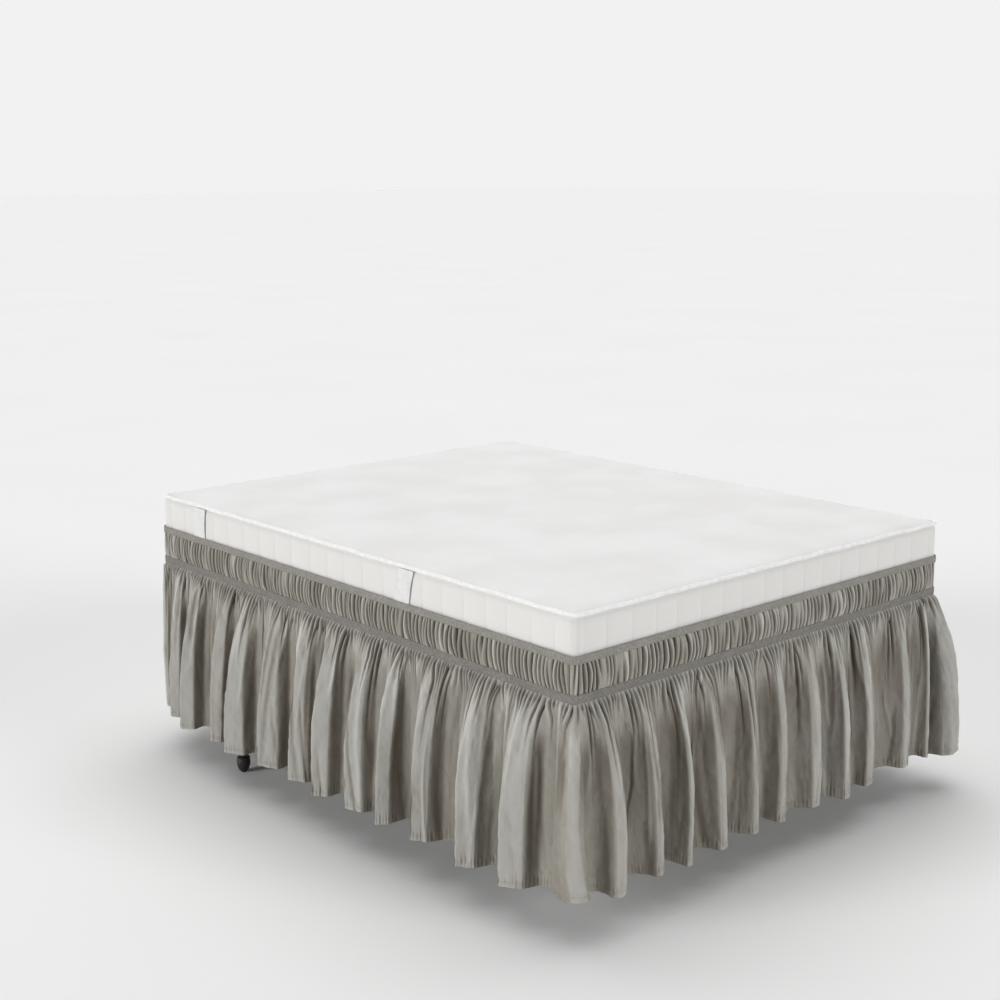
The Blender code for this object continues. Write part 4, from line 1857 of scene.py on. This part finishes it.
HANDLES = (
    HandleLean("handle_left_foot", -1, top=-0.021, low=0.001),
    HandleLean("handle_left_head", -1, top=0.006, low=0.014),
    HandleLean("handle_right_foot", 1, top=0.004, low=-0.006),
    HandleLean("handle_right_head", 1, top=-0.005, low=0.005),
)
UNDERSIDE = ((0.0012, 0.004), (0.006, 0.0006), (0.10, 0.0), (0.76, 0.0))  # inset, height above the bottom


@dataclass
class Mattress:
    """The mattress: a low crowned top, a border sewn in upright channels, piping and webbing handles."""

    rim: Rim
    finishes: Finishes
    channel_pitch: float = 0.0848
    channel_depth: float = 0.0010
    channel_width: float = 0.0050
    puff: float = 0.0012
    near_seam: tuple[float, ...] = (-0.0085, -0.0052, -0.0030, -0.0014, 0.0, 0.0014, 0.0030, 0.0052, 0.0085)
    ring_pitch: float = 0.009
    border_inset: float = 0.0045  # how far in the border's points lie at most
    border_drop: float = 0.0118  # how far below the piping's middle the border's straight part starts
    piping_radius: float = 0.0053
    piping_height: float = 0.83
    piping_wobble: float = 0.0005
    piping_pucker: float = 0.00018
    piping_pitch: float = 0.006
    piping_sides: int = 12
    handle_bow: float = 0.0030
    handle_thickness: float = 0.0016
    handle_rise: float = 0.004  # how far its top runs up behind the piping
    handle_free: float = 0.80  # share of its height above the tape
    handle_cup: float = 0.0012
    handle_rib_height: float = 0.00022
    crown: Profile = (
        # inset from the rim, height above the piping's middle
        (0.760, 0.0172), (0.600, 0.0170), (0.420, 0.0172), (0.220, 0.0165), (0.120, 0.0150), (0.070, 0.0132),
        (0.036, 0.0105), (0.018, 0.0068), (0.0085, 0.0015), (0.0058, -0.0050), (0.0042, -0.0088),
    )

    def channels(self) -> Array:
        """Places the border's upright seams.

        Returns:
            Distances along the rim.
        """
        count = round(self.rim.total / self.channel_pitch)
        stray = np.random.default_rng(5).uniform(-0.06, 0.06, count)
        return (np.arange(count) + 0.5 + stray) * self.rim.total / count

    def stations(self) -> Array:
        """Sets out points along the rim, close together at each channel's seam.

        Returns:
            Distances along the rim, as a row.
        """
        seams = (self.channels()[:, None] + np.array(self.near_seam)).ravel()
        even = np.linspace(0.0, self.rim.total, round(self.rim.total / self.ring_pitch), endpoint=False)
        gap = np.abs(even[:, None] - seams[None, :]).min(1)
        return np.sort(np.concatenate((seams, even[gap > 0.0045])))[None, :]

    def relief(self, points: Array, inset: Array) -> Array:
        """Gives the border its channels and the top its soft unevenness.

        Args:
            points: The plain form's points, by rings.
            inset: How far in from the rim each ring is, as a column.

        Returns:
            How far each point stands out.
        """
        away = np.abs(self.stations()[..., None] - self.channels()).min(-1)
        seam = -self.channel_depth * hill(away, self.channel_width)
        bulge = np.sin(math.pi * np.clip(away / self.channel_pitch, 0, 0.5)) ** 0.7
        x, y, z = points[..., 0], points[..., 1], points[..., 2]
        low, high = self.bottom + 0.006, self.piping_height - 0.012
        border = (inset < self.border_inset) * ease(z, low, low + 0.02) * ease(z, high, high - 0.015)
        hills = Crumple(8)
        soft = hills(x / 0.33 + y / 0.9, y / 0.30 - x / 0.7) + 0.4 * hills(x / 0.11 + 40, y / 0.13 + 9)
        dips = 0.0006 * (soft - 1.1) * ease(inset, 0.03, 0.16)
        return border * (seam + self.puff * bulge) + dips

    def build(self) -> None:
        """Makes the mattress, its piping and its handles."""
        self.bottom = top_and_bottom("mattress")[1]
        top = [(inset, self.piping_height + rise) for inset, rise in self.crown]
        border = np.linspace(self.piping_height - self.border_drop, self.bottom + 0.010, 15)
        side = [(0.0, height) for height in border]
        foot = [(inset, self.bottom + rise) for inset, rise in UNDERSIDE]
        rows = np.concatenate((smooth_profile(top, 3), side, foot))
        mesh = closed_body("mattress_body", self.rim, self.stations(), rows, self.relief)
        body = add_piece(mesh, self.finishes.ticking, "mattress")
        self.make_piping()
        for lean in HANDLES:
            self.make_handle(lean)

    def make_piping(self) -> None:
        """Makes the covered cord round the top edge, a little uneven, with its lap seam turned under."""
        lap, sides = self.rim.total, self.piping_sides
        along = np.linspace(0.0, lap, round(lap / self.piping_pitch), endpoint=False)[None, :]
        around = np.linspace(0.0, TURN, sides, endpoint=False)[:, None]
        wobble, rise = Wander(lap, 0.16, 61)(along), Wander(lap, 0.23, 63)(along)
        radius = self.piping_radius + self.piping_pucker * Wander(lap, 0.021, 62)(along)
        offset = -0.0006 + radius * np.sin(around) + self.piping_wobble * wobble
        height = self.piping_height + radius * np.cos(around) + self.piping_wobble * rise
        points = self.rim.stand_off(along, offset, height)
        points = np.concatenate((points, points[:1]))
        girth = np.linspace(0.0, TURN * self.piping_radius, sides + 1)[:, None]
        mesh = ring_mesh("mattress_piping", points, along, girth, lap)
        weld(mesh)
        add_piece(mesh, self.finishes.piping, "piping")

    def make_handle(self, lean: HandleLean) -> None:
        """Makes one webbing handle, bowed a little off the border and tucked behind the top tape.

        Args:
            lean: Its node, its side and its lean.
        """
        low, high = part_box(lean.node)
        width, middle = high.y - low.y, (high.y + low.y) / 2
        across = np.linspace(-0.5, 0.5, 21)[None, :]
        share = np.linspace(0.0, 1.0, 34)[:, None]
        height = high.z + self.handle_rise - (high.z + self.handle_rise - low.z) * share
        free = math.pi * np.clip(share / self.handle_free, 0.0, 1.0)
        bow = self.handle_bow * np.sin(free) ** 1.3
        slant = lean.low + (lean.top - lean.low) * (1 - share) ** 1.4
        cup = self.handle_cup * (2 * across) ** 2 * np.sin(free)
        ribs = self.handle_rib_height * np.cos(TURN * across * 10)
        offset = self.rim.width / 2 + 0.0026 + bow - cup + ribs
        along = middle + width * across * lean.sign + slant
        points = np.stack(np.broadcast_arrays(lean.sign * offset, along, height), -1)
        flat = np.stack(np.broadcast_arrays(width * (across + 0.5), (high.z - low.z) * share), -1)
        mesh = grid_mesh(f"{lean.node}_webbing", points[:, :: lean.sign], flat)
        piece = add_piece(mesh, self.finishes.webbing, lean.node)
        thicken(piece, self.handle_thickness)


@dataclass
class Foundation:
    """The cloth-covered base under the mattress, with its welted edges."""

    rim: Rim
    finishes: Finishes
    inset: float = 0.002
    edge: float = 0.010
    slack: float = 0.0008
    sag: float = 0.0022
    underside_below: float = 0.45
    top_insets: tuple[float, ...] = (0.760, 0.30, 0.06, 0.012)
    low_insets: tuple[float, ...] = (0.03, 0.06, 0.12, 0.2, 0.3, 0.4, 0.5, 0.6, 0.7, 0.76)

    def relief(self, points: Array, inset: Array) -> Array:
        """Gives the cloth its slack over the base's frame.

        Args:
            points: The plain form's points, by rings.
            inset: How far in from the rim each ring is, as a column.

        Returns:
            How far each point stands out.
        """
        hills = Crumple(19)
        x, y, z = points[..., 0], points[..., 1], points[..., 2]
        slack = hills((x + y) / 0.21, z / 0.08 + 3) * ease(inset, 0.03, self.inset)
        sag = hills(x / 0.16 + 20, y / 0.22 + 8) * ease(inset, 0.02, 0.20) * (z < self.underside_below)
        return self.slack * (slack - 1) - self.sag * sag

    def build(self) -> None:
        """Makes the foundation as one covered form."""
        top, bottom = top_and_bottom("foundation")
        turns = [float(turn) for turn in np.linspace(0.0, math.pi / 2, 7)]
        inner = [self.inset + self.edge * (1 - math.sin(turn)) for turn in turns]
        outer = [self.inset + self.edge * (1 - math.cos(turn)) for turn in turns]
        rows = [(inset, top) for inset in self.top_insets]
        rows += [(inset, top - self.edge * (1 - math.cos(turn))) for inset, turn in zip(inner[1:], turns[1:])]
        rows += [(self.inset, height) for height in np.linspace(top - 0.02, bottom + 0.02, 12)]
        rows += [(inset, bottom + self.edge * (1 - math.sin(turn))) for inset, turn in zip(outer, turns)]
        rows += [(inset, bottom) for inset in self.low_insets]
        along = np.linspace(0.0, self.rim.total, 480, endpoint=False)[None, :]
        mesh = closed_body("foundation_body", self.rim, along, np.array(rows), self.relief)
        piece = add_piece(mesh, self.finishes.foundation, "foundation")


def footprint(node: str) -> tuple[Range, float]:
    """The place and the radius of an upright round node."""
    low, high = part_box(node)
    return ((low.x + high.x) / 2, (low.y + high.y) / 2), (high.x - low.x) / 2


def outline(radius: float, height: float, steps: Profile) -> list[Range]:
    """Points of a profile, from how far each lies outward of a radius and above a height."""
    return [(radius + outward, height + above) for outward, above in steps]


@dataclass
class BedFrame:
    """The steel frame: side rails, crossbars, and legs in turned glides."""

    finishes: Finishes
    rail_edge: float = 0.0035
    wall: float = 0.0022
    sides: int = 40
    rings: tuple[float, ...] = (0.20, 0.045)  # the swaged rings' heights above a leg's lower end
    leg_top: Profile = ((0.006, 0), (0.0065, -0.001), (0.006, -0.004), (0.001, -0.006), (-0.0002, -0.010))
    leg_ring: Profile = ((-0.0002, 0.004), (0.0012, 0.0015), (0.0012, -0.0015), (-0.0002, -0.004))
    leg_end: Profile = ((-0.0002, 0.004), (-0.0012, 0.0012), (-0.003, 0))
    cup_top: Profile = (
        (-0.0060, -0.0006), (-0.0035, 0), (-0.0012, -0.0020), (-0.0008, -0.0046), (-0.0018, -0.0065),
        (0, -0.014),
    )
    cup_end: Profile = ((0, 0.030), (-0.0018, 0.020), (-0.0052, 0.010), (-0.0100, 0.0026), (-0.0125, 0))

    def build(self) -> None:
        """Makes every bar, leg and glide where the part has it."""
        for name in ("rail_left", "rail_right", "crossbar_foot", "crossbar_head"):
            self.make_bar(name)
        for end in ("foot", "head"):
            for side in ("left", "middle", "right"):
                self.make_leg(f"leg_{side}_{end}")
                self.make_glide(f"glide_{side}_{end}")

    def make_bar(self, node: str) -> None:
        """Makes a rectangular steel tube with rounded edges, closed by a recessed plastic plug at each end.

        Args:
            node: The part's node.
        """
        low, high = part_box(node)
        size, middle = high - low, (high + low) / 2
        way = 0 if size.x > size.y else 1
        shape = bmesh.new()
        bmesh.ops.create_cube(shape, size=1.0)
        for vertex in shape.verts:
            vertex.co = Vector(a * b for a, b in zip(vertex.co, size))
        spans = {edge: abs(edge.verts[0].co[way] - edge.verts[1].co[way]) for edge in shape.edges}
        long_edges = [edge for edge, span in spans.items() if span > size[way] / 2]
        rounding = {"offset": self.rail_edge, "segments": 4, "profile": 0.5, "affect": "EDGES"}
        bmesh.ops.bevel(shape, geom=long_edges, **rounding)
        caps = [face for face in shape.faces if abs(face.normal[way]) > 0.9]
        bmesh.ops.inset_individual(shape, faces=caps, thickness=self.wall, depth=-0.0008)
        ends = [face for face in shape.faces if abs(face.normal[way]) > 0.9 and len(face.verts) > 6]
        bmesh.ops.inset_individual(shape, faces=ends, thickness=0.002, depth=0.0012)
        for vertex in shape.verts:
            vertex.co += middle
        mesh = bpy.data.meshes.new(f"{node}_tube")
        shape.to_mesh(mesh)
        shape.free()
        mesh.shade_smooth()
        mesh.set_sharp_from_angle(angle=math.radians(35))
        add_piece(mesh, self.finishes.steel, node)

    def turned(self, name: str, profile: Array, place: tuple[float, float]) -> Mesh:
        """Turns a profile, from its top to its bottom, about an upright axis.

        Args:
            name: The mesh's name.
            profile: Each point's radius and height.
            place: Where the axis stands, as x and y.

        Returns:
            The mesh.
        """
        turn = np.linspace(0.0, TURN, self.sides, endpoint=False)[None, :]
        radius, height = profile[:, :1], profile[:, 1:]
        x, y = place[0] + radius * np.cos(turn), place[1] + radius * np.sin(turn)
        around = np.linspace(0.0, 1.0, self.sides + 1)[None, :]
        girth = TURN * np.maximum(radius, 0.001) * around
        flat = np.stack(np.broadcast_arrays(girth, height), -1)
        mesh = grid_mesh(name, np.stack(np.broadcast_arrays(x, y, height), -1), flat, closed=True)
        weld(mesh)
        mesh.set_sharp_from_angle(angle=math.radians(40))
        return mesh

    def make_leg(self, node: str) -> None:
        """Makes a round tube with a flange at its top, two swaged rings and a beaded lower end.

        Args:
            node: The part's node.
        """
        top, bottom = top_and_bottom(node)
        place, radius = footprint(node)
        profile = [(0.0, top), *outline(radius, top, self.leg_top)]
        for ring in self.rings:
            profile += outline(radius, bottom + ring, self.leg_ring)
        profile += [*outline(radius, bottom, self.leg_end), (0.0, bottom)]
        mesh = self.turned(f"{node}_tube", np.array(profile), place)
        add_piece(mesh, self.finishes.steel, node)

    def make_glide(self, node: str) -> None:
        """Makes a moulded cup that narrows to a small flat foot, with a rolled rim.

        Args:
            node: The part's node.
        """
        top, bottom = top_and_bottom(node)
        place, radius = footprint(node)
        wall = smooth_profile(outline(radius, top, self.cup_top) + outline(radius, bottom, self.cup_end), 4)
        profile = np.concatenate((((0.0, top - 0.0012),), wall, ((0.0, bottom),)))
        mesh = self.turned(f"{node}_cup", profile, place)
        add_piece(mesh, self.finishes.plastic, node)


# --- The studio ---
@dataclass(frozen=True)
class SoftLight:
    """A distant light, as wide as a large window."""

    name: str
    source: Triple  # the direction that it comes from
    strength: float
    width: float = 24.0  # degrees

    def hang(self) -> None:
        """Adds the light."""
        light = bpy.data.lights.new(self.name, "SUN")
        light.energy = self.strength
        light.angle = math.radians(self.width)
        lamp = bpy.data.objects.new(self.name, light)
        lamp.rotation_euler = Vector(self.source).to_track_quat("Z", "Y").to_euler()
        bpy.context.scene.collection.objects.link(lamp)


@dataclass(frozen=True)
class Studio:
    """The camera at the photograph's viewpoint, a white backdrop, soft lights and a pale floor."""

    camera_place: Triple = (-3.352, -3.574, 1.891)
    camera_yaw: float = 0.731
    camera_dip: float = 0.208
    lens: float = 57.913
    backdrop: float = 0.885  # as the camera sees it
    glow: float = 0.85  # the soft light from beyond the bed
    dim: float = 0.04  # the same from the camera's side
    beyond: Triple = (0.67, 0.74, 0.0)
    fade: Range = (0.05, 0.6)  # how far toward beyond a direction points where the glow sets in
    floor_size: float = 160.0
    lights: tuple[SoftLight, ...] = (
        SoftLight("left_light", (-0.93, 0.26, 0.26), 1.72),
        SoftLight("foot_light", (0.28, -0.92, 0.28), 1.36),
        SoftLight("top_light", (0.10, 0.14, 1.0), 1.39, 70.0),
    )

    def set_up(self) -> None:
        """Builds the studio."""
        self.place_camera()
        self.light()
        self.lay_floor()
        bpy.context.scene.view_settings.view_transform = "Standard"

    def place_camera(self) -> None:
        """Sets the camera where it sees what the photograph shows."""
        lens = bpy.data.cameras.new("view")
        lens.lens, lens.sensor_width = self.lens, 36.0
        lens.clip_end = 400.0
        camera = bpy.data.objects.new("view", lens)
        yaw, dip = self.camera_yaw, self.camera_dip
        forward = Vector((math.sin(yaw) * math.cos(dip), math.cos(yaw) * math.cos(dip), -math.sin(dip)))
        right = Vector((math.cos(yaw), -math.sin(yaw), 0.0))
        turn = Matrix((right, right.cross(forward), -forward)).transposed().to_4x4()
        camera.matrix_world = Matrix.Translation(self.camera_place) @ turn
        bpy.context.scene.collection.objects.link(camera)
        bpy.context.scene.camera = camera

    def light(self) -> None:
        """Hangs the lights, and sets a backdrop that the camera sees as white all round."""
        world = bpy.data.worlds.new("studio_surround")
        world.use_nodes = True
        nodes, link = world.node_tree.nodes, world.node_tree.links.new
        surround = nodes["Background"]
        surround.inputs["Color"].default_value = (1.0, 1.0, 1.0, 1.0)
        towards = nodes.new("ShaderNodeVectorMath")
        towards.operation = "DOT_PRODUCT"
        towards.inputs[1].default_value = self.beyond
        link(nodes.new("ShaderNodeTexCoord").outputs["Generated"], towards.inputs[0])
        fade = nodes.new("ShaderNodeMapRange")
        fade.interpolation_type = "SMOOTHSTEP"
        for socket, value in zip(tuple(fade.inputs)[1:5], (*self.fade, self.dim, self.glow)):
            socket.default_value = value
        link(towards.outputs["Value"], fade.inputs[0])
        seen = nodes.new("ShaderNodeMix")
        seen.inputs[3].default_value = self.backdrop
        link(nodes.new("ShaderNodeLightPath").outputs["Is Camera Ray"], seen.inputs[0])
        link(fade.outputs[0], seen.inputs[2])
        link(seen.outputs[0], surround.inputs["Strength"])
        bpy.context.scene.world = world
        for lamp in self.lights:
            lamp.hang()

    def lay_floor(self) -> None:
        """Lays the floor, which isn't part of the object."""
        mesh = bpy.data.meshes.new("floor")
        corners = ((-1, -1), (1, -1), (1, 1), (-1, 1))
        points = [(x * self.floor_size / 2, y * self.floor_size / 2, 0) for x, y in corners]
        mesh.from_pydata(points, [], [(0, 1, 2, 3)])
        mesh.materials.append(FloorFinish().make())
        floor = bpy.data.objects.new("floor", mesh)
        bpy.context.scene.collection.objects.link(floor)


def main() -> None:
    """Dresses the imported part."""
    logging.basicConfig(level=logging.INFO, format="%(message)s")
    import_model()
    Studio().set_up()
    finishes = Finishes.mix_all()
    rim = Rim()
    skirt, mattress = Skirt(rim, finishes), Mattress(rim, finishes)
    for assembly in (skirt, mattress, Foundation(rim, finishes), BedFrame(finishes)):
        assembly.build()
        log.info("built the %s", type(assembly).__name__)


if __name__ == "__main__":
    main()
